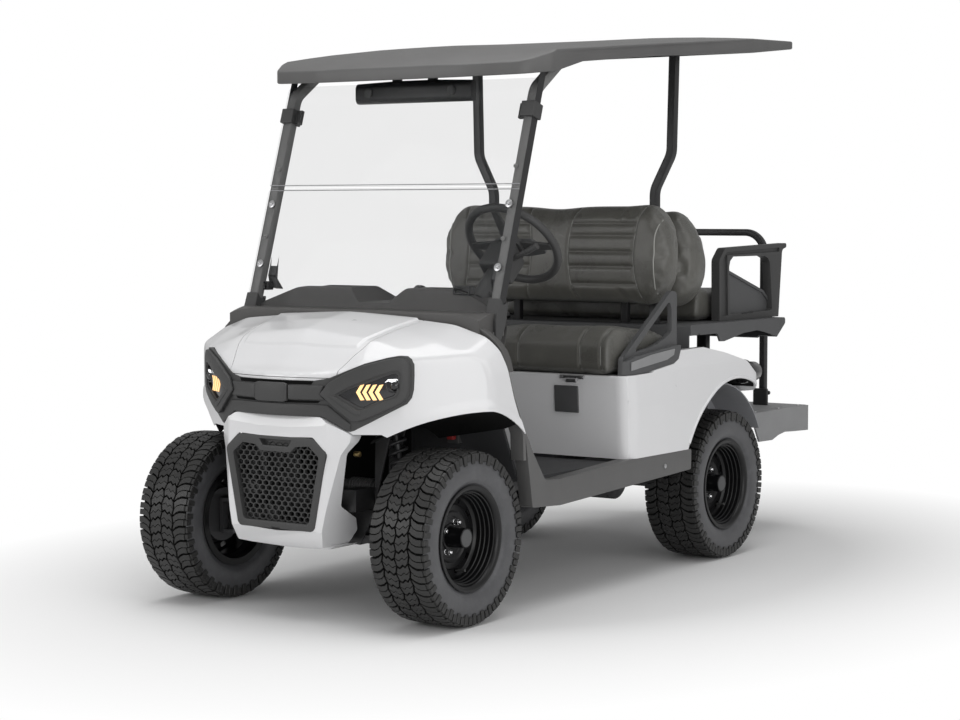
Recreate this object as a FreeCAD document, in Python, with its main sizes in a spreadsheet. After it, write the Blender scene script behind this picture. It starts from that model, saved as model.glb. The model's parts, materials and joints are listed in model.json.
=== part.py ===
import FreeCAD, Part
import math
import os
from types import SimpleNamespace

# Four-seat golf cart with a rear-facing back seat, in millimetres.
# X points to the vehicle's left, Y to its rear and Z up. The origin is on the ground,
# at the middle of the overall length and width.

V = FreeCAD.Vector
doc = FreeCAD.newDocument("GolfCart")

SIZES = {
    # whole vehicle
    "overall_length": 2901.0,
    "wheelbase": 1694.0,
    "front_track": 958.0,
    "rear_track": 942.0,
    "body_width": 1200.0,
    # wheels
    "tyre_radius": 279.0,
    "tyre_width": 205.0,
    "tread_depth": 12.0,
    "lug_length": 40.0,
    "lug_groups": 18,
    "bead_radius": 152.4,
    "flange_height": 17.5,
    "rim_width": 178.0,
    "rim_wall": 5.0,
    "disc_thickness": 6.0,
    "disc_offset": 4.0,
    "slot_count": 10,
    "cap_radius": 33.0,
    "cap_reach": 76.0,
    # front axle
    "kingpin_inset": 79.0,
    "carrier_radius": 20.0,
    "carrier_height": 93.0,
    "yoke_thickness": 12.0,
    "drum_radius": 90.0,
    "steering_arm": 112.0,
    "steering_arm_inset": 55.0,
    "tie_rod_radius": 9.0,
    "tie_rod_lift": 6.0,
    "rack_radius": 24.0,
    "rack_length": 240.0,
    "spring_radius": 30.0,
    "damper_radius": 17.0,
    # rear axle
    "axle_tube_radius": 33.0,
    "gear_case_radius": 92.0,
    "motor_radius": 88.0,
    "motor_length": 270.0,
    "leaf_width": 46.0,
    "leaf_thickness": 22.0,
    # frame
    "rail_width": 50.0,
    "rail_height": 70.0,
    "rail_bottom": 350.0,
    "rail_spread": 630.0,
    "front_rail_spread": 400.0,
    "tower_height": 300.0,
    "plate": 6.0,
    # floor and sills
    "floor_height": 430.0,
    "floor_thickness": 10.0,
    "sill_width": 50.0,
    "trim_width": 15.0,
    # body
    "shell_thickness": 6.0,
    "body_wall": 10.0,
    "seam": 0.9,
    "tail_lamp_radius": 42.0,
    "deck_height": 731.0,
    "nose_reach": 275.0,
    "nose_curvature": 0.00098,
    "arch_radius": 325.0,
    "arch_flare": 80.0,
    "liner_gap": 6.0,
    "rear_arch_radius": 398.0,
    "mask_proud": 8.0,
    "grille_depth": 12.0,
    "cell_pitch": 34.0,
    "cell_web": 7.0,
    # cabin
    "dash_rise": 25.0,
    "strut_tube": 34.0,
    "strut_half_spread": 505.0,
    "strut_lean": 17.66,
    "glass_thickness": 5.0,
    "glass_width": 1050.0,
    "roof_width": 1144.0,
    "roof_skin": 8.0,
    "roof_edge": 12.0,
    "rear_strut_tube": 30.0,
    "wheel_ring_radius": 165.0,
    "wheel_ring_tube": 14.0,
    "wheel_rake": 42.0,
    "column_radius": 26.0,
    "column_length": 250.0,
    # seats
    "cushion_width": 1070.0,
    "seat_back_width": 998.0,
    "restraint_thickness": 18.0,
    "restraint_foot": 36.0,
    "arm_thickness": 35.0,
    "tray_width": 1090.0,
    "rear_cushion_width": 880.0,
    "footplate_width": 900.0,
    "footplate_height": 505.0,
    "grab_tube": 28.0,
    "grab_spread": 600.0,
    "grab_height": 1228.0,
    # clearances
    "seat_gap": 0.3,
    "running_gap": 0.5,
}

sheet = doc.addObject("Spreadsheet::Sheet", "Sizes")
for row, (alias, value) in enumerate(SIZES.items(), start=1):
    sheet.set(f"A{row}", alias)
    sheet.set(f"B{row}", str(value))
    sheet.setAlias(f"B{row}", alias)
doc.recompute()
S = SimpleNamespace(**{alias: float(sheet.get(alias)) for alias in SIZES})

# Stations that the pieces share
FRONT = -S.overall_length / 2 + S.nose_reach + S.mask_proud
REAR = FRONT + S.wheelbase
AXLE = math.sqrt(S.tyre_radius**2 - (S.lug_length / 2) ** 2)
FRONT_TEXT = "(-Sizes.overall_length / 2 + Sizes.nose_reach + Sizes.mask_proud)"
REAR_TEXT = "(-Sizes.overall_length / 2 + Sizes.nose_reach + Sizes.mask_proud + Sizes.wheelbase)"
AXLE_TEXT = "sqrt(Sizes.tyre_radius ^ 2 - (Sizes.lug_length / 2) ^ 2)"
SUB_PARTS = []


def front(points):
    """Side outline given from the front axle, as one measured from the origin."""
    return [(p[0] + FRONT, *p[1:]) for p in points]


def rear(points):
    """Side outline given from the rear axle, as one measured from the origin."""
    return [(p[0] + REAR, *p[1:]) for p in points]


def outline_edges(points):
    """Lines and arcs of a closed outline. A point is (a, b) or (a, b, corner radius)."""
    corners = [V(p[0], p[1], 0) for p in points]
    radii = [p[2] if len(p) > 2 else 0.0 for p in points]
    count = len(corners)
    bends = []
    for i, corner in enumerate(corners):
        back = corners[i - 1] - corner
        ahead = corners[(i + 1) % count] - corner
        room = 0.49 * min(back.Length, ahead.Length)
        half = back.getAngle(ahead) / 2
        reach = min(radii[i] / math.tan(half), room) if radii[i] else 0.0
        back.normalize()
        ahead.normalize()
        if reach < 1e-6:
            bends.append((corner, None, corner))
            continue
        radius = reach * math.tan(half)
        inward = (back + ahead).normalize()
        middle = corner + inward * (radius / math.sin(half) - radius)
        bends.append((corner + back * reach, middle, corner + ahead * reach))
    edges = []
    for i, (start, middle, end) in enumerate(bends):
        if middle is not None:
            edges.append(Part.Arc(start, middle, end))
        following = bends[(i + 1) % count][0]
        if end.distanceToPoint(following) > 1e-6:
            edges.append(Part.LineSegment(end, following))
    return edges


def circle(a, b, radius):
    """Outline of one circle."""
    return [Part.Circle(V(a, b, 0), V(0, 0, 1), radius)]


def box_outline(a0, a1, b0, b1, radius=0.0):
    """Outline of a rectangle with equal corner radii."""
    return [(a0, b0, radius), (a1, b0, radius), (a1, b1, radius), (a0, b1, radius)]


def offset_outline(points, distance):
    """Outline moved outwards by distance, or inwards where it is negative."""
    area = sum(
        points[i - 1][0] * points[i][1] - points[i][0] * points[i - 1][1] for i in range(len(points))
    )
    sign = math.copysign(distance, area) if distance >= 0 else -math.copysign(distance, area)
    moved = []
    for i, point in enumerate(points):
        here = V(point[0], point[1], 0)
        before = V(points[i - 1][0], points[i - 1][1], 0)
        after = V(points[(i + 1) % len(points)][0], points[(i + 1) % len(points)][1], 0)
        way_in = (here - before).normalize()
        way_out = (after - here).normalize()
        side_in = V(way_in.y, -way_in.x, 0)
        side_out = V(way_out.y, -way_out.x, 0)
        mitre = (side_in + side_out).normalize()
        shift = sign / max(mitre.dot(side_in), 0.2)
        corner = here + mitre * shift
        radius = point[2] if len(point) > 2 else 0.0
        turn = way_in.cross(way_out).z * math.copysign(1, area)
        moved.append((corner.x, corner.y, max(radius + math.copysign(distance, turn * distance), 0.0)
                      if radius else 0.0))
    return moved


def band(path, width):
    """Outline of a strip of even width along an open path of (a, b, bend radius) points."""
    left = []
    right = []
    last = len(path) - 1
    for i, point in enumerate(path):
        here = V(point[0], point[1], 0)
        way_in = here - V(path[i - 1][0], path[i - 1][1], 0) if i else None
        way_out = V(path[i + 1][0], path[i + 1][1], 0) - here if i < last else None
        way_in = (way_in or way_out).normalize()
        way_out = (way_out or way_in).normalize()
        side = (V(-way_in.y, way_in.x, 0) + V(-way_out.y, way_out.x, 0)).normalize()
        reach = width / 2 / side.dot(V(-way_in.y, way_in.x, 0))
        turn = way_in.cross(way_out).z
        radius = point[2] if len(point) > 2 else 0.0
        inner = max(radius - width / 2, 0.0)
        outer = radius + width / 2 if radius else 0.0
        left.append((*(here + side * reach)[:2], inner if turn > 0 else outer))
        right.append((*(here - side * reach)[:2], outer if turn > 0 else inner))
    return left + right[::-1]


def link_outline(a0, b0, radius0, a1, b1, radius1):
    """Outline of two round ends joined by straight flanks."""
    along = V(a1 - a0, b1 - b0, 0).normalize()
    across = V(-along.y, along.x, 0)
    p0 = V(a0, b0, 0)
    p1 = V(a1, b1, 0)
    corners = [
        p0 + across * radius0,
        p0 - along * radius0,
        p0 - across * radius0,
        p1 - across * radius1,
        p1 + along * radius1,
        p1 + across * radius1,
    ]
    return [
        Part.Arc(corners[0], corners[1], corners[2]),
        Part.LineSegment(corners[2], corners[3]),
        Part.Arc(corners[3], corners[4], corners[5]),
        Part.LineSegment(corners[5], corners[0]),
    ]


def as_edges(outline):
    """Edges of an outline that is given by its points or already by its edges."""
    return outline if hasattr(outline[0], "toShape") else outline_edges(outline)


class Piece:
    """A sub-part made as one body of sketches and features."""

    def __init__(self, label, at=("0", "0", "0"), turn=None, output=True):
        self.body = doc.addObject("PartDesign::Body", label)
        self.body.Label = label
        self.body.AllowCompound = True
        if turn is not None:
            self.body.Placement.Rotation = turn
        for axis, text in zip("xyz", at):
            self.body.setExpression(f"Placement.Base.{axis}", text)
        if output:
            SUB_PARTS.append(self.body)

    def datum(self, role):
        """The body's own origin plane or axis of that role."""
        return next(f for f in self.body.Origin.OriginFeatures if f.Role == role)

    def sketch(self, role, outlines, offset="0"):
        """Sketch of closed outlines on one of the body's planes."""
        drawing = self.body.newObject("Sketcher::SketchObject", self.body.Label + "_sketch")
        drawing.AttachmentSupport = [(self.datum(role), "")]
        drawing.MapMode = "FlatFace"
        drawing.setExpression("AttachmentOffset.Base.z", offset)
        for outline in outlines:
            drawing.addGeometry(as_edges(outline), False)
        drawing.Visibility = False
        return drawing

    def pad(self, role, outlines, length, offset="0", midplane=False, reverse=False):
        """Extrude the outlines by a length that the sheet gives."""
        feature = self.body.newObject("PartDesign::Pad", self.body.Label + "_pad")
        feature.Profile = self.sketch(role, outlines, offset)
        feature.setExpression("Length", length)
        feature.Midplane = midplane
        feature.Reversed = reverse
        return feature

    def pocket(self, role, outlines, length, offset="0", midplane=True, reverse=False):
        """Cut the outlines out, and check that the cut removes material."""
        doc.recompute()
        before = self.body.Shape.Volume
        feature = self.body.newObject("PartDesign::Pocket", self.body.Label + "_pocket")
        feature.Profile = self.sketch(role, outlines, offset)
        feature.setExpression("Length", length)
        feature.Midplane = midplane
        feature.Reversed = reverse
        doc.recompute()
        if self.body.Shape.Volume > before - 1:
            raise RuntimeError(f"a pocket of {self.body.Label} cuts nothing")
        return feature

    def revolve(self, role, outlines, axis, angle="360"):
        """Turn the outlines about one of the body's axes."""
        feature = self.body.newObject("PartDesign::Revolution", self.body.Label + "_revolution")
        feature.Profile = self.sketch(role, outlines)
        feature.ReferenceAxis = (self.datum(axis), [""])
        feature.setExpression("Angle", angle)
        return feature

    def polar(self, features, axis, count):
        """Repeat features round an axis."""
        pattern = self.body.newObject("PartDesign::PolarPattern", self.body.Label + "_pattern")
        pattern.Originals = features
        pattern.Axis = (self.datum(axis), [""])
        pattern.Angle = 360
        pattern.setExpression("Occurrences", count)
        self.body.Tip = pattern
        return pattern


def shape_feature(label, shape, output=True):
    """A sub-part whose moulded form is worked out with shape functions."""
    feature = doc.addObject("Part::Feature", label)
    feature.Label = label
    feature.Shape = shape
    if output:
        SUB_PARTS.append(feature)
    return feature


def compound(label, members):
    """Like pieces that do not touch, kept as one sub-part."""
    group = doc.addObject("Part::Compound", label)
    group.Label = label
    group.Links = members
    SUB_PARTS.append(group)
    return group


def mirrored(source):
    """The same piece on the other side of the vehicle."""
    twin = doc.addObject("Part::Mirroring", source.Label + "_twin")
    twin.Source = source
    twin.Normal = V(1, 0, 0)
    return twin


def face_of(outline, place):
    """Flat face of an outline, moved onto its plane."""
    wire = Part.Wire(Part.__sortEdges__([edge.toShape() for edge in as_edges(outline)]))
    face = Part.Face(wire)
    face.Placement = place
    return face


SIDE_PLANE = FreeCAD.Rotation(V(0, 1, 0), V(0, 0, 1), V(1, 0, 0), "ZXY")
FRONT_PLANE = FreeCAD.Rotation(V(1, 0, 0), V(0, 0, 1), V(0, -1, 0), "ZXY")


def prism_x(outline, x0, x1):
    """Side outline (y, z) extruded across the vehicle."""
    return face_of(outline, FreeCAD.Placement(V(x0, 0, 0), SIDE_PLANE)).extrude(V(x1 - x0, 0, 0))


def prism_y(outline, y0, y1):
    """Front outline (x, z) extruded along the vehicle."""
    return face_of(outline, FreeCAD.Placement(V(0, y0, 0), FRONT_PLANE)).extrude(V(0, y1 - y0, 0))


def prism_z(outline, z0, z1):
    """Plan outline (x, y) extruded upwards."""
    return face_of(outline, FreeCAD.Placement(V(0, 0, z0), FreeCAD.Rotation())).extrude(V(0, 0, z1 - z0))


def both_sides(points):
    """Right half outline, from the middle out, joined to its mirror image."""
    return points + [(-p[0], *p[1:]) for p in reversed(points) if abs(p[0]) > 1e-6]


def keep_solids(shape, smallest=1000.0):
    """The solids of a cut shape, without slivers."""
    solids = [solid for solid in shape.Solids if solid.Volume > smallest]
    return solids[0] if len(solids) == 1 else Part.Compound(solids)


# Wheels


TYRE_SIDES = 36


def tyre_ring(x, radius):
    """Regular ring of tyre corners across the axle."""
    turn = 2 * math.pi / TYRE_SIDES
    corners = [V(x, radius * math.sin(turn * k), radius * math.cos(turn * k)) for k in range(TYRE_SIDES)]
    return Part.makePolygon(corners + corners[:1])


def tyre_shape():
    """Carcass of flat-sided rings with two staggered rows of slanted lugs."""
    half = S.tyre_width / 2
    carcass = S.tyre_radius - S.tread_depth
    rim_half = S.rim_width / 2 - 1
    shoulder = S.bead_radius + S.flange_height + 3
    stations = [(-rim_half, shoulder), (-half, carcass - 50), (-half + 8, carcass - 12), (-half + 24, carcass),
                (half - 24, carcass), (half - 8, carcass - 12), (half, carcass - 50), (rim_half, shoulder)]
    outer = Part.makeLoft([tyre_ring(x, radius) for x, radius in stations], True, True)
    bead = (S.bead_radius + S.seat_gap) / math.cos(math.pi / TYRE_SIDES)
    bore = Part.makeLoft([tyre_ring(x, bead) for x in (-half, half)], True, True)
    solid = outer.cut(bore)
    reach = S.lug_length / 2
    foot = AXLE - S.tread_depth - 20
    groups = int(S.lug_groups)
    lugs = []
    for side in (1, -1):
        outline = [(side * (half - 6), -reach), (side * (half - 6), reach * 0.4), (side * 6, reach),
                   (side * 6, -reach * 0.2)]
        lug = prism_z(outline, foot, AXLE)
        for k in range(groups):
            turned = lug.copy()
            turned.rotate(V(0, 0, 0), V(1, 0, 0), 360 * (k + (0 if side > 0 else 0.5)) / groups)
            lugs.append(turned)
    return solid.multiFuse(lugs)


def tyre(label, x_text, y_text):
    feature = shape_feature(label, tyre_shape())
    for axis, text in zip("xyz", (x_text, y_text, AXLE_TEXT)):
        feature.setExpression(f"Placement.Base.{axis}", text)


def rim(label, x_text, y_text, side):
    turn = FreeCAD.Rotation(V(0, 0, 1), 0 if side > 0 else 180)
    piece = Piece(label, (x_text, y_text, AXLE_TEXT), turn)
    half = S.rim_width / 2
    bead = S.bead_radius
    lip = bead + S.flange_height
    wall = S.rim_wall
    drop = bead - 14
    disc = S.disc_offset
    barrel = [
        (-half - wall, lip), (-half, lip), (-half, bead), (-half + 27, bead), (-half + 39, drop),
        (disc - 4, drop), (disc + 10, bead), (half, bead), (half, lip), (half + wall, lip),
        (half + wall, bead - wall), (disc + 12, bead - wall), (disc + S.disc_thickness + 6, drop - 34),
        (disc + S.disc_thickness + 6, 72), (disc + S.disc_thickness, 62), (disc + S.disc_thickness, S.cap_radius),
        (S.cap_reach, S.cap_radius), (S.cap_reach, 0), (disc, 0), (disc, 66), (disc + 6, 76),
        (disc + 6, drop - 38), (disc - 6, drop - wall), (-half + 37, drop - wall), (-half - wall, bead - wall),
    ]
    piece.revolve("XY_Plane", [barrel], "X_Axis")
    slot = box_outline(-11, 11, drop - 33, drop - 16)
    cut = piece.pocket("YZ_Plane", [slot], "40", offset=f"{disc + 6}")
    piece.polar([cut], "X_Axis", "Sizes.slot_count")


def wheels():
    for end, track, y_text in (("front", "front_track", FRONT_TEXT), ("rear", "rear_track", REAR_TEXT)):
        for name, side in (("left", 1), ("right", -1)):
            x_text = f"{side} * Sizes.{track} / 2"
            tyre(f"tyre_{end}_{name}", x_text, y_text)
            rim(f"rim_{end}_{name}", x_text, y_text, side)


# Front axle

KINGPIN = S.front_track / 2 - S.kingpin_inset
BALL_X = S.steering_arm_inset
BALL_Y = S.steering_arm
PLATE_INNER = S.carrier_height / 2 + S.running_gap
ARM_TOP = -PLATE_INNER


def knuckle(label, side):
    x_text = f"{side} * (Sizes.front_track / 2 - Sizes.kingpin_inset)"
    piece = Piece(label, (x_text, FRONT_TEXT, AXLE_TEXT))
    web = S.carrier_radius + 6
    web_out = web + 14
    plate = [(side * -16, -20, 8), (side * web_out, -30), (side * web_out, 30), (side * -16, 20, 8)]
    for low in (PLATE_INNER, -PLATE_INNER - S.yoke_thickness):
        piece.pad("XY_Plane", [plate], "Sizes.yoke_thickness", offset=f"{low}")
    arm = link_outline(0, 0, 19, side * -BALL_X, BALL_Y, 15)
    piece.pad("XY_Plane", [arm], "Sizes.yoke_thickness", offset=f"{-PLATE_INNER - S.yoke_thickness}")
    height = PLATE_INNER + S.yoke_thickness
    piece.pad("YZ_Plane", [box_outline(-30, 30, -height, height)], "14",
              offset=f"{web if side > 0 else -web_out}")
    drum = S.kingpin_inset + S.disc_offset - S.seat_gap
    inner = web_out + 8
    piece.pad("YZ_Plane", [circle(0, 0, 22)], f"{inner - web_out + 1}",
              offset=f"{web_out - 1 if side > 0 else -inner}")
    piece.pad("YZ_Plane", [circle(0, 0, S.drum_radius)], f"{drum - inner - 12}",
              offset=f"{inner if side > 0 else -drum + 12}")
    piece.pad("YZ_Plane", [circle(0, 0, 58)], "12", offset=f"{drum - 12 if side > 0 else -drum}")


def front_suspension():
    piece = Piece("front_suspension", ("0", FRONT_TEXT, AXLE_TEXT))
    top = S.rail_bottom - AXLE - S.seat_gap
    reach = (S.front_rail_spread + S.rail_width) / 2
    member = [(-176, -46), (176, -46), (reach, top - 30), (reach, top), (-reach, top), (-reach, top - 30)]
    piece.pad("XZ_Plane", [member], "110", midplane=True)
    pivot = 165.0
    for side in (1, -1):
        arm = [(side * pivot, -55, 6), (side * KINGPIN, -15, 10), (side * KINGPIN, 15, 10), (side * pivot, 55, 6)]
        window = [(side * (pivot + 30), -30, 6), (side * (pivot + 130), -9, 4),
                  (side * (pivot + 130), 9, 4), (side * (pivot + 30), 30, 6)]
        piece.pad("XY_Plane", [arm, window], "26", offset="-40")
        piece.pad("XY_Plane", [circle(side * KINGPIN, 0, S.carrier_radius)],
                  "Sizes.carrier_height", offset="-Sizes.carrier_height / 2")
        bracket = box_outline(side * (KINGPIN - 75), side * (KINGPIN - 10), -16, 16, 5)
        piece.pad("XY_Plane", [bracket], "22", offset="18")
        hanger = box_outline(side * 60, side * 90, 40, BALL_Y - 12)
        piece.pad("XY_Plane", [hanger], "26", offset=f"{ROD_HEIGHT - 13}")
    housing = circle(BALL_Y, ROD_HEIGHT, S.rack_radius)
    bore = circle(BALL_Y, ROD_HEIGHT, S.tie_rod_radius + S.running_gap)
    piece.pad("YZ_Plane", [housing], "Sizes.rack_length", midplane=True)
    piece.pocket("YZ_Plane", [bore], "Sizes.rack_length + 40")


EYE_HEIGHT = 24.0
ROD_HEIGHT = ARM_TOP + S.tie_rod_lift + EYE_HEIGHT / 2


def tie_rods():
    piece = Piece("tie_rods", ("0", FRONT_TEXT, AXLE_TEXT))
    reach = KINGPIN - BALL_X
    piece.pad("YZ_Plane", [circle(BALL_Y, ROD_HEIGHT, S.tie_rod_radius)], f"{2 * reach - 20}", midplane=True)
    eyes = [circle(side * reach, BALL_Y, 15) for side in (1, -1)]
    piece.pad("XY_Plane", eyes, f"{EYE_HEIGHT}", offset=f"{ROD_HEIGHT - EYE_HEIGHT / 2}")


def coilovers():
    eye = 12.0
    run = KINGPIN - 66 - 264
    lean = math.atan2(run, 308)
    cap = S.rail_bottom + S.rail_height + S.tower_height - 60 - AXLE - S.plate
    low = V(264 + run, 0, 40 + S.seat_gap + eye * (math.cos(lean) + math.sin(lean)))
    high = V(264, 0, cap - S.seat_gap - S.damper_radius * math.sin(lean))
    lean = FreeCAD.Rotation(V(0, 0, 1), high - low)
    length = (high - low).Length
    at = (f"{low.x}", FRONT_TEXT, f"{AXLE_TEXT} + {low.z}")
    piece = Piece("coilover", at, lean, output=False)
    spring = S.spring_radius
    damper = S.damper_radius
    outline = [(0, -eye), (eye, -eye), (eye, eye), (damper, 14), (damper, 50), (spring, 50), (spring, 56)]
    turns = 5
    start = 60.0
    pitch = (length - 50 - start) / turns
    for turn in range(turns):
        base = start + turn * pitch
        outline += [(spring - 10, base), (spring, base + pitch / 2)]
    outline += [(spring, length - 46), (spring, length - 40), (damper, length - 38), (damper, length), (0, length)]
    piece.revolve("XZ_Plane", [outline], "Z_Axis")
    compound("coilovers", [piece.body, mirrored(piece.body)])


# Rear axle


def rear_axle():
    piece = Piece("rear_axle", ("0", REAR_TEXT, AXLE_TEXT))
    drum = S.rear_track / 2 + S.disc_offset - S.seat_gap
    piece.pad("YZ_Plane", [circle(0, 0, S.axle_tube_radius)], f"{2 * drum - 80}", midplane=True)
    for side in (1, -1):
        piece.pad("YZ_Plane", [circle(0, 0, S.drum_radius)], "45",
                  offset=f"{drum - 57 if side > 0 else -drum + 12}")
        piece.pad("YZ_Plane", [circle(0, 0, 58)], "13", offset=f"{drum - 13 if side > 0 else -drum}")
    piece.pad("YZ_Plane", [circle(0, 0, S.gear_case_radius)], "120", offset="-40")
    piece.pad("YZ_Plane", [circle(-60, 24, S.motor_radius)], "Sizes.motor_length", offset="-40 - Sizes.motor_length + 60")


def rear_springs():
    half = S.leaf_width / 2
    x = S.rail_spread / 2
    low = AXLE + S.axle_tube_radius + S.seat_gap
    spring = Piece("leaf_spring", ("0", REAR_TEXT, "0"), output=False)
    end = S.rail_bottom - S.seat_gap - S.leaf_thickness / 2
    path = [(-330, end, 0), (-180, low + 12, 200), (0, low + S.leaf_thickness / 2, 400), (180, low + 12, 200),
            (330, end, 0)]
    spring.pad("YZ_Plane", [band(path, S.leaf_thickness)], "Sizes.leaf_width", offset=f"{x - half}")
    compound("rear_springs", [spring.body, mirrored(spring.body)])


# Frame


def frame():
    piece = Piece("frame")
    height = "Sizes.rail_height"
    low = "Sizes.rail_bottom"
    half = S.rail_width / 2
    narrow = S.front_rail_spread / 2
    wide = S.rail_spread / 2
    tail = REAR + 430
    for side in (1, -1):
        path = [(side * narrow, FRONT - 140, 0), (side * narrow, FRONT + 330, 60), (side * wide, FRONT + 470, 60),
                (side * wide, tail, 0)]
        piece.pad("XY_Plane", [band(path, S.rail_width)], height, offset=low)
    for y, reach in ((FRONT - 115, narrow), (FRONT + 480, wide), (REAR - 740, wide), (REAR - 400, wide), (tail - 25, wide)):
        cross = box_outline(-reach + half - 1, reach - half + 1, y - 25, y + 25)
        piece.pad("XY_Plane", [cross], "Sizes.rail_height - 10", offset=low)
    side_face = narrow + half - 1
    top = S.rail_bottom + S.rail_height + S.tower_height - 60
    for side in (1, -1):
        gusset = [(side * side_face, S.rail_bottom + 10), (side * side_face, S.rail_bottom + 110),
                  (side * (side_face + 6), top), (side * (side_face + 70), top),
                  (side * (side_face + 70), top - 40)]
        for y in (FRONT - 40, FRONT + 34):
            piece.pad("XZ_Plane", [gusset], "Sizes.plate", offset=f"{-y - S.plate}")
        cap = box_outline(side * side_face, side * (side_face + 70), FRONT - 40, FRONT + 40)
        piece.pad("XY_Plane", [cap], "Sizes.plate", offset=f"{top - S.plate}")
    for side in (1, -1):
        tongue = box_outline(side * 130, side * 160, GRILLE_BACK + S.seat_gap, FRONT - 139)
        piece.pad("XY_Plane", [tongue], "40", offset=low)
    for side in (1, -1):
        post = box_outline(side * (wide - half), side * (wide - half + 40), REAR + 262, REAR + 296)
        piece.pad("XY_Plane", [post], f"{TRAY_TOP - 8 - S.rail_bottom - S.rail_height - S.seat_gap + 1}",
                  offset=f"{S.rail_bottom + S.rail_height - 1}")


TRAY_LOW = 805.0
TRAY_TOP = 885.0
TRAY_FRONT = REAR - 247.0
GRILLE_BACK = FRONT - 232


def footplate_arms():
    """Tubes that carry the footplate from the rails."""
    piece = Piece("footplate_arms")
    wide = S.rail_spread / 2
    start = REAR + 430 + S.seat_gap
    end = S.overall_length / 2 - 60
    for side in (1, -1):
        path = [(start, S.rail_bottom + 35, 0), (start + 60, S.rail_bottom + 35, 30),
                (start + 150, FOOT_UNDER - 20, 30), (end, FOOT_UNDER - 20, 0)]
        piece.pad("YZ_Plane", [band(path, 40)], "40", offset=f"{side * (wide - 60) - 20}")


FOOT_UNDER = S.footplate_height - 10.0 - S.seat_gap


def battery_pack():
    piece = Piece("battery_pack")
    plan = box_outline(-260, 260, REAR - 725, REAR - 345, 12)
    low = S.rail_bottom + S.rail_height - 10 + S.seat_gap
    piece.pad("XY_Plane", [plan], f"{S.deck_height - low - 40}", offset=f"{low}")


# Floor and sills

TOE_FOOT = (314.0, S.floor_height - S.floor_thickness / 2)
TOE_HEAD = (127.0, 812.0)


def toe_line(z):
    """Middle of the toe board at a height."""
    share = (z - TOE_FOOT[1]) / (TOE_HEAD[1] - TOE_FOOT[1])
    return TOE_FOOT[0] + (TOE_HEAD[0] - TOE_FOOT[0]) * share


def toe_y(z):
    """Rear face of the toe board at a height, with the seating gap."""
    lean = math.atan2(TOE_FOOT[0] - TOE_HEAD[0], TOE_HEAD[1] - TOE_FOOT[1])
    return toe_line(z) + (S.floor_thickness / 2 + S.seat_gap) / math.cos(lean)


def floor_pan():
    piece = Piece("floor")
    half = S.floor_thickness / 2
    path = front([(*TOE_HEAD, 0), (*TOE_FOOT, 30)]) + [(REAR - 762, S.floor_height - half, 0)]
    width = S.body_width - 2 * S.sill_width - 20
    piece.pad("YZ_Plane", [band(path, S.floor_thickness)], f"{width}", midplane=True)


def sills():
    outline = front([(320, 342, 8), (273, 602), (327, 516, 20), (396, 424, 30), (487, 419, 20)]) + rear([
        (-770, 440.7), (-320, 440.7, 8), (-322, 367, 8)]) + front([(488, 332, 40)])
    outer = S.body_width / 2 - 8
    inner = outer - S.sill_width
    strip = prism_x(offset_outline(front(COWL_EDGE), -S.seat_gap), inner, outer)
    strip = strip.cut(prism_x(offset_outline(front(COWL_EDGE), -S.seat_gap - S.trim_width), inner - 1, outer + 1))
    strip = strip.common(prism_z(box_outline(inner, outer, FRONT, FRONT + 290), 500, TOE_HEAD[1]))
    sill = shape_feature("sill", prism_x(outline, inner, outer).fuse(strip).removeSplitter(), output=False)
    compound("sills", [sill, mirrored(sill)])


# Front body

NOSE_POINTS = 9


def nose_plan(forward, back=None):
    """Plan prism bounded in front by the nose curve, moved forward by the given distance."""
    half = S.body_width / 2 + 40
    points = []
    for i in range(NOSE_POINTS):
        x = -half + 2 * half * i / (NOSE_POINTS - 1)
        points.append(V(x, FRONT - S.nose_reach - forward + S.nose_curvature * x * x, 0))
    curve = Part.BSplineCurve()
    curve.interpolate(points)
    behind = FRONT + 400
    far = [V(half, behind, 0), V(-half, behind, 0)]
    return [curve, Part.LineSegment(points[-1], far[0]), Part.LineSegment(far[0], far[1]),
            Part.LineSegment(far[1], points[0])]


def nose_slab(forward, backward, z0, z1):
    """Curved slab of even depth that follows the nose curve."""
    outer = prism_z(nose_plan(forward), z0, z1)
    return outer.cut(prism_z(nose_plan(-backward), z0 - 1, z1 + 1))


# Heights of the bonnet and wing tops: station from the front axle, then the heights at the
# middle, at the bonnet seam, over the lamps, at the wing crown and on the flank
CROWN = [
    (-283, 790, 780, 760, 730, 640),
    (-216, 815, 800, 782, 752, 660),
    (-165, 868, 848, 805, 760, 680),
    (-110, 918, 890, 838, 790, 700),
    (0, 947, 926, 894, 850, 740),
    (119, 966, 955, 944, 903, 800),
    (300, 985, 972, 960, 925, 820),
]
CROWN_ACROSS = (0.0, 0.47, 0.72, 0.91, 1.0)


def crown_loft(drop):
    """Solid under the bonnet and wings, lowered and narrowed by the given thickness."""
    half = S.body_width / 2 - drop
    wires = []
    for station, *heights in CROWN:
        y = FRONT + station
        right = [V(half * a, y, z - drop) for a, z in zip(CROWN_ACROSS, heights)]
        right.insert(len(right) - 1, V(half * 0.985, y, (heights[3] + heights[4]) / 2 - drop))
        points = [V(-p.x, p.y, p.z) for p in reversed(right[1:])] + right
        curve = Part.BSplineCurve()
        curve.interpolate(points)
        low = S.rail_bottom - drop
        corners = [V(half, y, low), V(-half, y, low)]
        wires.append(Part.Wire([
            curve.toShape(),
            Part.makeLine(points[-1], corners[0]),
            Part.makeLine(corners[0], corners[1]),
            Part.makeLine(corners[1], points[0]),
        ]))
    return Part.makeLoft(wires, True, False)


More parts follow.
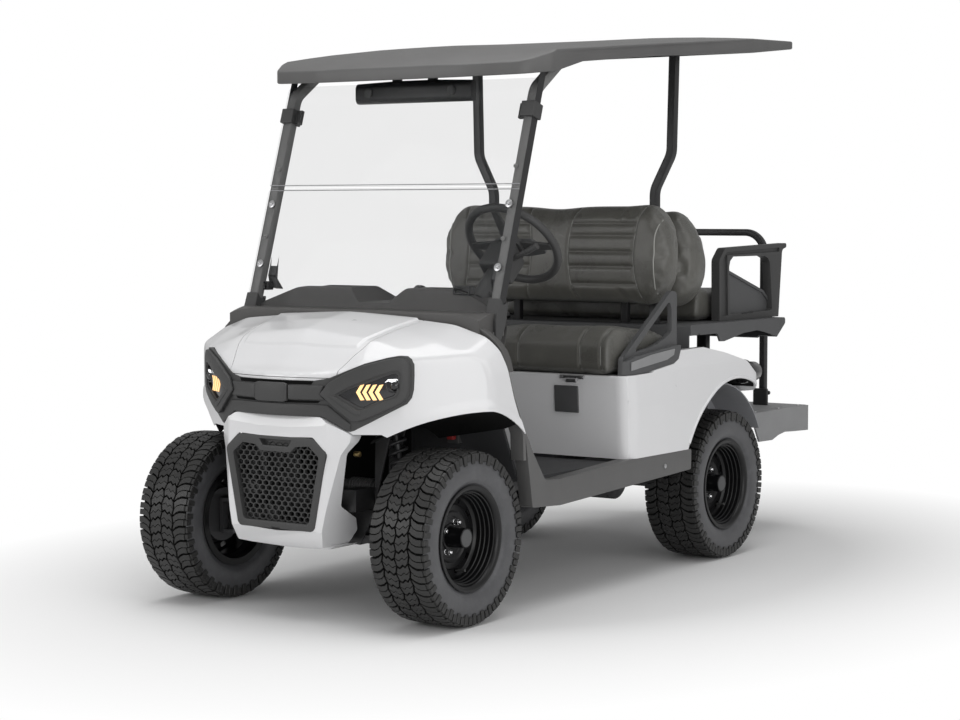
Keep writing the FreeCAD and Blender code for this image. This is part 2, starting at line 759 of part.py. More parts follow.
COWL_END = 119.0
COWL_EDGE = [(COWL_END, 1200), (COWL_END, 960), (107, 949, 10), (156, 819, 60), (200, 703, 60), (262, 584),
             (275, 300), (700, 300), (700, 1200)]
HOOD_SEAM = [(0, -330), (217, -330), (217, -216), (253, -141), (312, 119), (312, 180), (0, 180)]
NOSE_LOW = 604.3
MASK_OUTLINE = [(0, 772), (150, 772, 20), (204, 782, 20), (300, 828, 20), (406, 853, 20), (425, 838, 15),
                (420, 705, 15), (318, 645, 15), (264, 613, 8), (250, 613, 8), (173, 658, 20), (0, 658)]
BUMPER_OUTLINE = [(0, 658), (173, 658, 20), (248, 614), (262, 602, 8), (258, 578, 20), (236, 540, 40),
                  (171, 234, 30), (0, 228)]
BUMPER_PLAN = [(0, -268), (196, -262, 30), (262, -212, 20), (262, -60), (0, -60)]
BUMPER_SIDE = [(-252, 660), (-266, 622), (-264, 300, 20), (-236, 226), (-120, 236), (-77, 285, 10), (-95, 325, 10),
               (-185, 372, 15), (-200, 545, 25), (-160, 590, 15), (-160, 660)]
LAMP_OUTLINE = [(205, 729, 6), (330, 800, 20), (398, 836, 12), (412, 822, 10), (406, 718, 12), (285, 668, 10)]


def shifted(outline, dy):
    """Plan outline moved along the vehicle."""
    return [(p[0], p[1] + dy, *p[2:]) for p in outline]


def front_shell():
    """Thin moulded skin of the bonnet, wings and nose."""
    skin = S.shell_thickness
    nose = prism_z(nose_plan(0), S.rail_bottom - 50, 1100)
    inner_nose = prism_z(nose_plan(-skin), S.rail_bottom - 50, 1100)
    outer = crown_loft(0).common(nose)
    inner = crown_loft(skin).common(inner_nose)
    shell = outer.cut(inner)
    half = S.body_width / 2 + 30
    shell = shell.cut(prism_x(front(COWL_EDGE), -half, half))
    below = front([(-400, 200), (-400, NOSE_LOW), (-160, NOSE_LOW), (-110, 560), (-60, 500), (500, 500), (500, 200)])
    shell = shell.cut(prism_x(below, -half, half))
    for side in (1, -1):
        arch = Part.makeCone(S.arch_radius, S.arch_radius + S.arch_flare, 380, V(side * 230, FRONT, AXLE),
                             V(side, 0, 0))
        shell = shell.cut(arch)
    return shell


def front_body():
    shell = front_shell()
    mask_cut = prism_y(both_sides(MASK_OUTLINE), FRONT - 400, FRONT)
    shell = shell.cut(mask_cut)
    hood_tool = prism_z(both_sides(shifted(HOOD_SEAM, FRONT)), 700, 1100)
    gap = prism_z(both_sides(offset_outline(shifted(HOOD_SEAM, FRONT), S.seam)), 700, 1100)
    hood = shell.common(hood_tool).cut(Part.makeBox(2000, 2000, 781, V(-1000, FRONT - 1000, 0)))
    cowl = shell.cut(gap.cut(Part.makeBox(2000, 2000, 779, V(-1000, FRONT - 1000, 0))))
    bumper_cut = prism_y(offset_outline(both_sides(BUMPER_OUTLINE), S.seam), FRONT - 400, FRONT - 60)
    cowl = cowl.cut(bumper_cut)
    shape_feature("hood", keep_solids(hood))
    shape_feature("front_cowl", keep_solids(cowl))
    mask = nose_slab(S.mask_proud, 12, 500, 1000)
    mask = mask.common(prism_y(offset_outline(both_sides(MASK_OUTLINE), -S.seat_gap), FRONT - 400, FRONT))
    lamps = []
    for side in (1, -1):
        outline = [(side * p[0], *p[1:]) for p in LAMP_OUTLINE]
        mask = mask.cut(prism_y(offset_outline(outline, S.seat_gap), FRONT - 400, FRONT))
        lamp = nose_slab(S.mask_proud - 2, 10, 500, 1000).common(prism_y(outline, FRONT - 400, FRONT))
        lamps.append(keep_solids(lamp))
    shape_feature("front_mask", keep_solids(mask))
    shape_feature("headlamps", Part.Compound(lamps))


GRILLE_OUTLINE = [(0, 588), (150, 594, 15), (204, 545, 20), (153, 298, 25), (0, 290)]


def bumper_form(inset):
    """Outer form of the bumper, or the same form inset, open to the rear where it is inset."""
    behind = [(p[0], p[1] + (200 if inset and p[1] > -210 else 0), *p[2:]) for p in BUMPER_PLAN]
    side = [(p[0] + (200 if inset and p[0] > -210 else 0), *p[1:]) for p in BUMPER_SIDE]
    form = prism_y(offset_outline(both_sides(BUMPER_OUTLINE), -inset), FRONT - 400, FRONT + 200)
    form = form.common(prism_z(offset_outline(both_sides(shifted(behind, FRONT)), -inset), 200, 700))
    return form.common(prism_x(offset_outline(front(side), -inset), -400, 400))


def front_bumper():
    shell = bumper_form(0).cut(bumper_form(S.body_wall))
    window = prism_y(offset_outline(both_sides(GRILLE_OUTLINE), S.seat_gap), FRONT - 350, FRONT)
    mask_room = prism_y(both_sides(MASK_OUTLINE), FRONT - 400, FRONT)
    shape_feature("front_bumper", keep_solids(shell.cut(window).cut(mask_room)))


def grille():
    face = GRILLE_BACK - 30
    outer = both_sides(GRILLE_OUTLINE)
    inner = offset_outline(outer, -26)
    piece = Piece("grille", ("0", f"{face}", "0"))
    piece.pad("XZ_Plane", [outer, inner], "30", reverse=True)
    web = offset_outline(outer, -25.5)
    piece.pad("XZ_Plane", [web, *honeycomb(web, 302, 580)], "Sizes.grille_depth", offset="-18", reverse=True)


def inside_by(outline, a, b):
    """Least distance of a point from the sides of an outline that has no deep corner."""
    reach = []
    area = sum(outline[i - 1][0] * outline[i][1] - outline[i][0] * outline[i - 1][1] for i in range(len(outline)))
    for i, corner in enumerate(outline):
        start = outline[i - 1]
        along = V(corner[0] - start[0], corner[1] - start[1], 0).normalize()
        reach.append(math.copysign(1, area) * (along.x * (b - start[1]) - along.y * (a - start[0])))
    return min(reach)


def honeycomb(border, low, high):
    """Hexagonal cells in staggered rows that fit inside a border."""
    pitch = S.cell_pitch
    radius = (pitch - S.cell_web) / math.sqrt(3)
    rise = pitch * math.sqrt(3) / 2
    cells = []
    for row in range(int((high - low) / rise)):
        z = low + rise * (row + 0.5)
        shift = pitch / 2 * (row % 2)
        for column in range(-8, 9):
            x = column * pitch + shift
            if inside_by(border, x, z) < radius + 1.5:
                continue
            cells.append([(x + radius * math.cos(math.radians(60 * k + 30)),
                           z + radius * math.sin(math.radians(60 * k + 30))) for k in range(6)])
    return cells


# Cabin front

WHEEL_CENTRE = V(330, FRONT + 597, 1190)
RAKE = FreeCAD.Rotation(V(1, 0, 0), S.wheel_rake - 90)
HUB_DEPTH = 32.0
STRUT_FOOT = (229.0, 953.0)
STRUT_TOP = 1700.0
STRUT_LOW = 880.0


def strut_y(z):
    """Distance of the windscreen strut's middle line from the front axle, at a height."""
    return STRUT_FOOT[0] + (z - STRUT_FOOT[1]) * math.tan(math.radians(S.strut_lean))


def strut_path():
    """Middle line of the windscreen strut, from its socket in the dash to the roof."""
    head = strut_y(STRUT_TOP) + 180
    top = roof_inner(S.strut_half_spread, head) - S.strut_tube / 2 - S.seat_gap - 2
    return front([(strut_y(STRUT_LOW), STRUT_LOW, 0), (strut_y(STRUT_TOP), STRUT_TOP, 70), (head, top, 0)])


def dash():
    """Dash moulding: a full-width lip behind the bonnet and a hollow hump between the struts."""
    edge = COWL_END + S.seat_gap
    lip = front([(edge, TOE_HEAD[1] + 1), (edge, 974, 6), (300, 974), (300, 900), (150, 900), (150, TOE_HEAD[1] + 1)])
    base = prism_x(lip, -S.body_width / 2, S.body_width / 2).common(crown_loft(-S.dash_rise))
    behind = prism_x(offset_outline(front(COWL_EDGE), -S.seat_gap), -700, 700)
    base = base.common(prism_z(nose_plan(-12), 700, 1100)).common(behind)
    wall = 10
    half = S.strut_half_spread - S.strut_tube / 2 - 8
    hump = front([(238, 940), (238, 974), (275, 1045, 25), (427, 1045, 30), (487, 1000, 30), (500, 900, 20),
                  (370, 815, 20), (150, 815), (150, 940)])
    pods = [(0, 996), (62, 996, 12), (118, 1046, 15), (240, 1056, 60), (345, 1040, 60), (half + 5, 985, 30),
            (half + 5, 700), (0, 700)]
    outside = prism_y(both_sides(pods), FRONT + 100, FRONT + 600)
    inside = prism_y(offset_outline(both_sides(pods), -wall), FRONT + 100, FRONT + 600)
    body = base.fuse(prism_x(hump, -half, half).common(outside))
    body = body.cut(prism_x(offset_outline(hump, -wall), -half + wall, half - wall).common(inside))
    for side in (1, -1):
        tray = box_outline(side * 140, side * 400, FRONT + 300, FRONT + 410, 15)
        body = body.cut(prism_z(tray, 1000, 1100))
        low_x = side * S.strut_half_spread - S.strut_tube / 2 - S.seat_gap
        socket = band(strut_path(), S.strut_tube + 2 * S.seat_gap)
        body = body.cut(prism_x(socket, low_x, low_x + S.strut_tube + 2 * S.seat_gap))
    column = Part.makeCylinder(S.column_radius + S.seat_gap, 400, V(0, 0, -400))
    column.Placement = FreeCAD.Placement(WHEEL_CENTRE, RAKE)
    shape_feature("dash", keep_solids(body.cut(column)))


def windshield_struts():
    strut = Piece("windshield_strut", output=False)
    low_x = S.strut_half_spread - S.strut_tube / 2
    strut.pad("YZ_Plane", [band(strut_path(), S.strut_tube)], "Sizes.strut_tube", offset=f"{low_x}")
    compound("windshield_struts", [strut.body, mirrored(strut.body)])


def glass_pane(label, z0, z1):
    lean = FreeCAD.Rotation(V(1, 0, 0), -S.strut_lean)
    piece = Piece(label, ("0", "0", "0"), lean)
    cos = math.cos(math.radians(S.strut_lean))
    pivot = V(0, FRONT + strut_y(z0) - (S.strut_tube / 2 + 1) / cos, z0)
    for axis, value in zip("xyz", pivot):
        piece.body.setExpression(f"Placement.Base.{axis}", f"{value}")
    half = S.glass_width / 2
    piece.pad("XZ_Plane", [box_outline(-half, half, 0, (z1 - z0) / cos, 18)], "Sizes.glass_thickness")


def windshield_clips():
    clips = []
    lean = FreeCAD.Rotation(V(1, 0, 0), -S.strut_lean)
    for side in (1, -1):
        for z in (1100, 1300, 1440, 1630):
            body = Part.makeBox(26, 8, 34, V(-13, -8, -17))
            stud = Part.makeCylinder(7, 5.5, V(0, -8, 0), V(0, -1, 0))
            clip = body.fuse(stud)
            y = FRONT + strut_y(z) - (S.strut_tube / 2 + 1 + S.glass_thickness + S.seat_gap) / lean.toMatrix().A22
            clip.Placement = FreeCAD.Placement(V(side * S.strut_half_spread, y, z), lean)
            clips.append(clip)
    shape_feature("windshield_clips", Part.Compound(clips))


# Roof: station from the front axle, then the heights at the middle, near the side and of the lower edge
ROOF_SECTIONS = [
    (300, 1772, 1752, 1735),
    (497, 1856, 1828, 1758),
    (660, 1872, 1843, 1798),
    (1140, 1908, 1886, 1843),
    (1895, 1975, 1950, 1899),
    (2420, 1990, 1968, 1950),
]
ROOF_PLAN = [(0, 318), (300, 330, 300), (520, 372, 90), (572, 470, 60), (572, 1100), (560, 1900), (520, 2330, 120),
             (380, 2420, 120), (0, 2425)]


def roof_loft(drop):
    half = S.roof_width / 2 + 20
    wires = []
    for station, middle, shoulder, edge in ROOF_SECTIONS:
        y = FRONT + station
        low = edge - drop
        top = Part.Arc(V(-half, y, shoulder - drop), V(0, y, middle - drop), V(half, y, shoulder - drop)).toShape()
        wires.append(Part.Wire([
            top,
            Part.makeLine(V(half, y, shoulder - drop), V(half, y, low)),
            Part.makeLine(V(half, y, low), V(-half, y, low)),
            Part.makeLine(V(-half, y, low), V(-half, y, shoulder - drop)),
        ]))
    return Part.makeLoft(wires, True, True)


def roof():
    plan = both_sides(shifted(ROOF_PLAN, FRONT))
    outer = roof_loft(0).common(prism_z(plan, 1600, 2100))
    inner = roof_loft(S.roof_skin).common(prism_z(offset_outline(plan, -S.roof_edge), 1600, 2100))
    shape_feature("roof", keep_solids(outer.cut(inner)))


def roof_inner(x, station):
    """Height of the roof's inner skin at a distance from the middle and from the front axle."""
    across = (x / (S.roof_width / 2 + 20)) ** 2
    for (y0, m0, s0, _), (y1, m1, s1, _) in zip(ROOF_SECTIONS, ROOF_SECTIONS[1:]):
        if y0 <= station <= y1:
            share = (station - y0) / (y1 - y0)
            middle = m0 + (m1 - m0) * share
            shoulder = s0 + (s1 - s0) * share
            return middle - (middle - shoulder) * across - S.roof_skin
    raise ValueError("station outside the roof")


def roof_struts():
    tube = S.rear_strut_tube
    strut = Piece("roof_strut", ("0", f"{REAR_TEXT} - 192", "0"), output=False)
    station = S.wheelbase - 192
    top = roof_inner(440, station - tube / 2) - S.seat_gap - 1
    foot = TRAY_TOP + S.seat_gap
    path = [(360, foot, 0), (360, 1379, 90), (430, 1512, 90), (440, top, 0)]
    strut.pad("XZ_Plane", [band(path, tube)], "Sizes.rear_strut_tube", midplane=True)
    strut.pad("XY_Plane", [box_outline(320, 400, -18, 60, 6)], "8", offset=f"{foot}")
    compound("roof_struts", [strut.body, mirrored(strut.body)])


def mirror():
    piece = Piece("mirror")
    outline = front([(472, 1672, 20), (472, 1738, 20), (505, 1742, 10), (505, 1668, 10)])
    piece.pad("YZ_Plane", [outline], "486", midplane=True)
    tops = [roof_inner(90, station) - 2 * S.seat_gap for station in (480, 498)]
    for x in (-90, 60):
        stalk = front([(480, 1735), (480, tops[0]), (498, tops[1]), (498, 1735)])
        piece.pad("YZ_Plane", [stalk], "30", offset=f"{x}")


# Steering

def steering():
    lean = RAKE
    column = Piece("steering_column", turn=lean)
    top = -HUB_DEPTH - S.running_gap
    for axis, value in zip("xyz", WHEEL_CENTRE):
        column.body.setExpression(f"Placement.Base.{axis}", f"{value}")
    column.pad("XY_Plane", [circle(0, 0, S.column_radius)], "Sizes.column_length",
               offset=f"{top - S.column_length}")
    column.pad("XY_Plane", [box_outline(-45, 45, -50, 50, 20)], "90", offset=f"{top - 90}")
    wheel = Piece("steering_wheel", turn=lean)
    for axis, value in zip("xyz", WHEEL_CENTRE):
        wheel.body.setExpression(f"Placement.Base.{axis}", f"{value}")
    tube = S.wheel_ring_tube
    section = [(S.wheel_ring_radius + tube * math.cos(math.radians(a)), tube * math.sin(math.radians(a)))
               for a in range(0, 360, 60)]
    wheel.revolve("XZ_Plane", [section], "Z_Axis")
    wheel.pad("XY_Plane", [circle(0, 0, 52)], f"{HUB_DEPTH + 2}", offset=f"{-HUB_DEPTH}")
    ring = S.wheel_ring_radius
    for angle in (0, 180, 270):
        c, s = math.cos(math.radians(angle)), math.sin(math.radians(angle))
        spoke = [(40 * c - 20 * s, 40 * s + 20 * c), (ring * c - 12 * s, ring * s + 12 * c),
                 (ring * c + 12 * s, ring * s - 12 * c), (40 * c + 20 * s, 40 * s - 20 * c)]
        wheel.pad("XY_Plane", [spoke], "10", offset="-14")


def pedals():
    piece = Piece("pedals")
    for x, width in ((S.body_width / 4, 90), (S.body_width / 4 + 105, 60)):
        pad_plate = front([(240, 640), (300, 500), (312, 506), (252, 646)])
        piece.pad("YZ_Plane", [pad_plate], f"{width}", offset=f"{x - width / 2}")
        arm = front([(toe_y(640), 640), (toe_y(618), 618), (256, 606), (262, 618)])
        piece.pad("YZ_Plane", [arm], "16", offset=f"{x - 8}")


# Rear body

REAR_PROFILE = [(-780, 731, 6), (-761, 441), (-300, 441), (180, 441), (250, 500, 30), (244, 597, 40), (191, 676, 60),
                (108, 738, 80), (-49, 777, 100), (-203, 804, 60), (-417, 800, 60), (-520, 782, 80), (-600, 735, 60)]


def rear_form(inset):
    """Closed outer form of the rear body, or the same form inset on all sides."""
    profile = rear(REAR_PROFILE)
    half = S.body_width / 2
    section = [(-half + 10, 400), (half - 10, 400), (half, 620, 60), (half - 8, 740, 60), (half - 40, 850, 60),
               (-half + 40, 850, 60), (-half + 8, 740, 60), (-half, 620, 60)]
    plan = [(-half, REAR - 800, 20), (half, REAR - 800, 20), (half, REAR + 252, 110), (-half, REAR + 252, 110)]
    form = prism_x(offset_outline(profile, -inset), -half - 5, half + 5)
    form = form.common(prism_y(offset_outline(section, -inset), REAR - 900, REAR + 400))
    return form.common(prism_z(offset_outline(plan, -inset), 300, 1000))


RESTRAINT_NOTCH = [(-800, 731), (-640, 736), (-440, 757, 10), (-402, 772, 10), (-386, 806), (-386, 900), (-800, 900)]


def rear_body():
    wall = S.body_wall
    half = S.body_width / 2
    body = rear_form(0).cut(rear_form(wall))
    body = body.cut(Part.makeBox(2 * half - 60, 960, 40, V(-half + 30, REAR - 740, 425)))
    for side in (1, -1):
        arch = Part.makeCone(S.rear_arch_radius - 12, S.rear_arch_radius + 4, 300, V(side * 340, REAR + 22, AXLE), V(side, 0, 0))
        body = body.cut(arch)
        body = body.cut(Part.makeBox(300, 460, 90, V(340 if side > 0 else -640, REAR - 320, 400)))
    half_well = S.cushion_width / 2 + 11
    body = body.cut(Part.makeBox(2 * half_well, 620, 200, V(-half_well, REAR - 790, S.deck_height)))
    notch = offset_outline(rear(RESTRAINT_NOTCH), S.seat_gap)
    for side in (1, -1):
        body = body.cut(prism_x(notch, side * half_well, side * (half + 40)))
    tray_half = S.tray_width / 2 + S.seat_gap
    tail_well = Part.makeBox(2 * tray_half, 600, 200, V(-tray_half, TRAY_FRONT - S.seat_gap, TRAY_LOW - S.seat_gap))
    body = body.cut(tail_well)
    deck = Part.makeBox(2 * half, 630, wall, V(-half, REAR - 790, S.deck_height - wall))
    deck = deck.cut(Part.makeBox(860, 300, 3 * wall, V(-430, REAR - 730, S.deck_height - 2 * wall)))
    body = body.fuse(deck.common(rear_form(wall / 2)))
    shape_feature("rear_body", keep_solids(body.removeSplitter()))


def riser_y(z):
    """Front face of the seat riser at a height, with the seating gap."""
    (y0, z0, _), (y1, z1) = REAR_PROFILE[:2]
    return REAR + y0 + (y1 - y0) * (z0 - z) / (z0 - z1) - S.seat_gap / 2


def charge_door():
    piece = Piece("charge_door")
    low, high = 596.0, 690.0
    outline = [(riser_y(low) - 8, low, 3), (riser_y(high) - 8, high, 3), (riser_y(high), high), (riser_y(low), low)]
    piece.pad("YZ_Plane", [outline], "98", offset="296")


# Seats


def seat_cushion():
    piece = Piece("seat_cushion_front")
    low = S.deck_height + S.seat_gap
    outline = rear([(-805, low, 20), (-805, 860, 45), (-717, 903, 60), (-450, 872, 60), (-380, 850, 40), (-380, low, 20)])
    piece.pad("YZ_Plane", [outline], "Sizes.cushion_width", midplane=True)


def back_shape(profile):
    """Backrest: its side outline, limited by a rounded front outline."""
    half = S.seat_back_width / 2
    lows = min(p[1] for p in profile)
    highs = max(p[1] for p in profile)
    right = [(0, lows - 5), (half - 84, lows - 5, 90), (half - 12, lows + 80, 150), (half, lows + 170, 200),
             (half - 14, highs - 90, 150), (half - 84, highs + 5, 90), (0, highs + 5)]
    frontal = [(-p[0], *p[1:]) for p in reversed(right[1:-1])] + right[1:-1]
    slab = prism_x(profile, -half, half)
    return slab.common(prism_y(frontal, min(p[0] for p in profile) - 10, max(p[0] for p in profile) + 10))


def seat_backs():
    forward = rear([(-351, 965, 45), (-357, 1126), (-336, 1318, 50), (-216, 1318, 50), (-229, 1126), (-223, 965, 50)])
    backward = rear([(-172, 948, 40), (-172, 1070), (-152, 1296, 50), (-50, 1296, 60), (-24, 1100), (-24, 948, 40)])
    shape_feature("seat_back_front", keep_solids(back_shape(forward)))
    shape_feature("seat_back_rear", keep_solids(back_shape(backward)))


def seat_frame():
    """Panel and legs that carry both backrests."""
    piece = Piece("seat_frame")
    y = REAR - 200
    piece.pad("XZ_Plane", [box_outline(-300, 300, 960, 1270, 30)], "16", offset=f"{-y}", midplane=True)
    for x in (-240, 240):
        piece.pad("XY_Plane", [box_outline(x - 15, x + 15, y - 13, y + 13, 4)], f"{1200 - TRAY_TOP}",
                  offset=f"{TRAY_TOP + S.seat_gap}")
    for side_x in (-180, 180):
        arm = rear([(-225.8 + S.seat_gap, 1040), (-172 - S.seat_gap, 1040), (-172 - S.seat_gap, 1070),
                    (-226.9 + S.seat_gap, 1070)])
        piece.pad("YZ_Plane", [arm], "30", offset=f"{side_x - 15}")


def hip_restraints():
    """Open triangular loops with a broad foot, let into the shoulders of the rear body."""
    inner = S.cushion_width / 2 + 12
    outer = rear([(-768, 720), (-766, 790, 20), (-425, 1018, 30), (-386, 1010, 15), (-386, 720)])
    window = rear([(-655, 805, 12), (-430, 955, 15), (-428, 868, 20), (-520, 832, 20)])
    loop = prism_x(outer, inner, inner + S.restraint_thickness)
    foot = prism_x([(p[0], min(p[1], REAR_PROFILE[0][1] + 90)) for p in outer], inner, inner + S.restraint_foot)
    foot = foot.common(prism_x(rear([(-768, 700), (-766, 780), (-640, 812, 40), (-470, 838, 40), (-386, 880),
                                     (-386, 700)]), inner, inner + S.restraint_foot))
    body = loop.fuse(foot).cut(prism_x(window, inner - 1, inner + 100))
    body = body.common(prism_x(rear(RESTRAINT_NOTCH), inner, inner + 100).fuse(
        prism_x(rear([(-800, 880), (-386, 880), (-386, 1100), (-800, 1100)]), inner, inner + 100)))
    body = body.cut(Part.makeBox(100, 900, 60, V(inner - 1, REAR - 900, S.deck_height + S.seat_gap - 60)))
    restraint = shape_feature("hip_restraint", keep_solids(body.removeSplitter()), output=False)
    compound("hip_restraints", [restraint, mirrored(restraint)])


def rear_tray():
    """Moulded tray behind the seat, open below, whose front wall stands on the seat deck."""
    half = S.tray_width / 2
    wall = 8
    top = TRAY_TOP
    outline = [(TRAY_FRONT, TRAY_LOW), (TRAY_FRONT, top, 8)] + rear([(517, top, 15), (517, top - 23, 10), (438, TRAY_LOW, 30)])
    body = prism_x(outline, -half, half)
    hollow = [(TRAY_FRONT + wall, TRAY_LOW - 10), (TRAY_FRONT + wall, top - wall)] + rear([
        (505, top - wall), (438 - wall, TRAY_LOW + 5), (438 - wall, TRAY_LOW - 10)])
    body = body.cut(prism_x(hollow, -half + wall, half - wall))
    skirt = rear([(-300, 780), (-300, 846), (-40, 846, 20), (-8, 800)])
    body = body.cut(prism_x(skirt, -half - 1, -half + wall + 1)).cut(prism_x(skirt, half - wall - 1, half + 1))
    inner = S.cushion_width / 2
    stand = Part.makeBox(2 * inner, wall, top - S.deck_height - S.seat_gap - 10,
                         V(-inner, TRAY_FRONT, S.deck_height + S.seat_gap))
    shape_feature("rear_tray", keep_solids(body.fuse(stand).removeSplitter()))


def rear_cushion():
    piece = Piece("seat_cushion_rear")
    low = TRAY_TOP + S.seat_gap
    outline = rear([(-10, low, 10), (-10, 985, 40), (60, 1012, 50), (380, 1000, 50), (383, low, 20)])
    piece.pad("YZ_Plane", [outline], "Sizes.rear_cushion_width", midplane=True)


def armrests():
    arm = Piece("armrest", output=False)
    low = TRAY_TOP + S.seat_gap
    outer = rear([(67, low), (63, 1117, 20), (110, 1162, 30), (621, 1175, 8), (621, 1158, 6), (585, 1150, 20), (557, low)])
    window = rear([(183, 1096, 20), (398, 1096, 20), (343, 906, 12), (244, 906, 12)])
    offset = S.rear_cushion_width / 2 + 20
    arm.pad("YZ_Plane", [outer, window], "Sizes.arm_thickness", offset=f"{offset}")
    compound("armrests", [arm.body, mirrored(arm.body)])


def footplate():
    piece = Piece("footplate")
    half = S.footplate_width / 2
    end = S.overall_length / 2
    start = REAR + 453
    piece.pad("XY_Plane", [box_outline(-half, half, start, end, 20)], "10", offset="Sizes.footplate_height - 10")
    tread = box_outline(-half + 40, half - 40, start + 20, REAR + 780, 12)
    piece.pad("XY_Plane", [tread], "3", offset="Sizes.footplate_height - 1")
    skirt = [(start, 346, 20), (start, 504), (end, 504), (end, 396, 10), (end - 90, 390, 60), (end - 150, 335, 60),
             (start + 219, 331, 20)]
    for x in (-half, half - 8):
        piece.pad("YZ_Plane", [skirt], "8", offset=f"{x}")


def grab_bar():
    piece = Piece("grab_bar", ("0", f"{REAR + 810}", "0"))
    half = S.grab_spread / 2
    top = S.grab_height - S.grab_tube / 2
    path = [(half, S.footplate_height + S.seat_gap, 0), (half, top, 85), (-half, top, 85),
            (-half, S.footplate_height + S.seat_gap, 0)]
    piece.pad("XZ_Plane", [band(path, S.grab_tube)], "Sizes.grab_tube", midplane=True)


def tail_lamps():
    """Round lamps on the sloping ends of the rear wings."""
    behind = rear_form(-S.seat_gap)
    lamps = []
    for side in (1, -1):
        barrel = Part.makeCylinder(S.tail_lamp_radius, 180, V(side * 505, REAR + 80, 690), V(0, 1, 0))
        barrel = barrel.makeChamfer(10, [edge for edge in barrel.Edges if edge.BoundBox.YMin > REAR + 250])
        lamps.append(keep_solids(barrel.cut(behind)))
    shape_feature("tail_lamps", Part.Compound(lamps))


def liner(y, radius, x0, x1, low, high):
    """Arched liner over one wheel, between two angles from the vertical."""
    def at(r, degrees):
        a = math.radians(degrees)
        return V(y + r * math.sin(a), AXLE + r * math.cos(a), 0)
    middle = (low + high) / 2
    inner = radius - 4
    edges = [
        Part.Arc(at(radius, low), at(radius, middle), at(radius, high)),
        Part.LineSegment(at(radius, high), at(inner, high)),
        Part.Arc(at(inner, high), at(inner, middle), at(inner, low)),
        Part.LineSegment(at(inner, low), at(radius, low)),
    ]
    return prism_x(edges, x0, x1)


def sector(y, radius, degrees):
    """Side outline of a sector above the axle."""
    a = math.radians(degrees)
    reach = radius / math.cos(a / 2)
    points = [(y + reach * math.sin(a * k / 2), AXLE + reach * math.cos(a * k / 2)) for k in (-2, -1, 0, 1, 2)]
    return [(y, AXLE), *points]


def wheel_liners():
    half = S.body_width / 2
    solids = []
    for side in (1, -1):
        cone = []
        for gap in (S.liner_gap, S.liner_gap - 4):
            radius = S.arch_radius + gap
            cone.append(Part.makeCone(radius, radius + S.arch_flare, 380, V(side * 230, FRONT, AXLE), V(side, 0, 0)))
        over = cone[0].cut(cone[1]).common(prism_x(sector(FRONT, 450, 34), *sorted((side * (half - 290), side * (half + 10)))))
        inside = S.shell_thickness + S.seat_gap
        over = over.common(crown_loft(inside)).common(prism_z(nose_plan(-inside), 300, 900))
        depth = 2 * (toe_y(300) - toe_line(300))
        ahead = [(FRONT - 500, 300), (FRONT + toe_y(300) - depth, 300), (FRONT + toe_y(900) - depth, 900), (FRONT - 500, 900)]
        over = over.common(prism_x(ahead, -700, 700))
        solids.append(keep_solids(over))
        over = liner(REAR + 22, S.rear_arch_radius + S.liner_gap, *sorted((side * (half - 248), side * (half - 5))), -44, 52)
        solids.append(over.common(rear_form(S.body_wall + S.seat_gap)))
    shape_feature("wheel_liners", Part.Compound(solids))


front_body()
front_bumper()
grille()
frame()
footplate_arms()
battery_pack()
floor_pan()
sills()
wheels()
knuckle("knuckle_left", 1)
knuckle("knuckle_right", -1)
front_suspension()
tie_rods()
coilovers()
rear_axle()
rear_springs()
dash()
windshield_struts()
glass_pane("windshield_lower", 975, 1378)
glass_pane("windshield_upper", 1382, 1735)
windshield_clips()
roof()
roof_struts()
mirror()
steering()
pedals()
rear_body()
charge_door()
seat_cushion()
seat_backs()
seat_frame()
hip_restraints()
rear_tray()
rear_cushion()
armrests()
footplate()
grab_bar()
tail_lamps()
wheel_liners()

doc.recompute()
for item in doc.Objects:
    if {"Invalid", "Error"} & set(item.State):
        raise RuntimeError(f"{item.Label} failed: {item.State}")
os.makedirs("parts", exist_ok=True)
for part in SUB_PARTS:
    shape = part.Shape
    if shape.isNull() or not shape.isValid() or not shape.Solids:
        raise RuntimeError(f"{part.Label} has no valid shape")
    shape.exportStep(f"parts/{part.Label}.step")
    box = shape.BoundBox
    print(f"{part.Label}: {len(shape.Solids)} solids, {shape.Volume / 1e6:.2f} dm3, "
          f"x {box.XMin:.0f} {box.XMax:.0f}, y {box.YMin:.0f} {box.YMax:.0f}, z {box.ZMin:.1f} {box.ZMax:.0f}")
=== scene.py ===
"""Looks of a lifted four-seat golf cart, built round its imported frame."""
import json
import logging
import math
from contextlib import contextmanager
from dataclasses import dataclass, field
from enum import Enum
from typing import Callable, Iterable, Iterator, Optional, Sequence, Union

import bpy
import numpy as np
from mathutils import Matrix, Vector


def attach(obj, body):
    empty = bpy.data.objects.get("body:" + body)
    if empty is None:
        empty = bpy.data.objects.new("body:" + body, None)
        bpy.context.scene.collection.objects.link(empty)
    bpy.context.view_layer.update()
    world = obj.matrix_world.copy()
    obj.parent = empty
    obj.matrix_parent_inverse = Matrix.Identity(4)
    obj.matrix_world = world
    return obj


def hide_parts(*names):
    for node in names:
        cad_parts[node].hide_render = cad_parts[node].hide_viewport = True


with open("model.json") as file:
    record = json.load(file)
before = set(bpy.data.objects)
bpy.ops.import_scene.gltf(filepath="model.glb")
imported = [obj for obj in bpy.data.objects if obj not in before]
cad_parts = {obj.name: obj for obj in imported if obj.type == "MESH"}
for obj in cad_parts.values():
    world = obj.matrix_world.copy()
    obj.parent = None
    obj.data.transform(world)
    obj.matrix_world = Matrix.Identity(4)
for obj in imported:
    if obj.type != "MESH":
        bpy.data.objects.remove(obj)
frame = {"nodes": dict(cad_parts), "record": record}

LOG = logging.getLogger("golf_cart")
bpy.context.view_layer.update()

Point = Sequence[float]
Outline = Sequence[Point]
Piece = bpy.types.Object

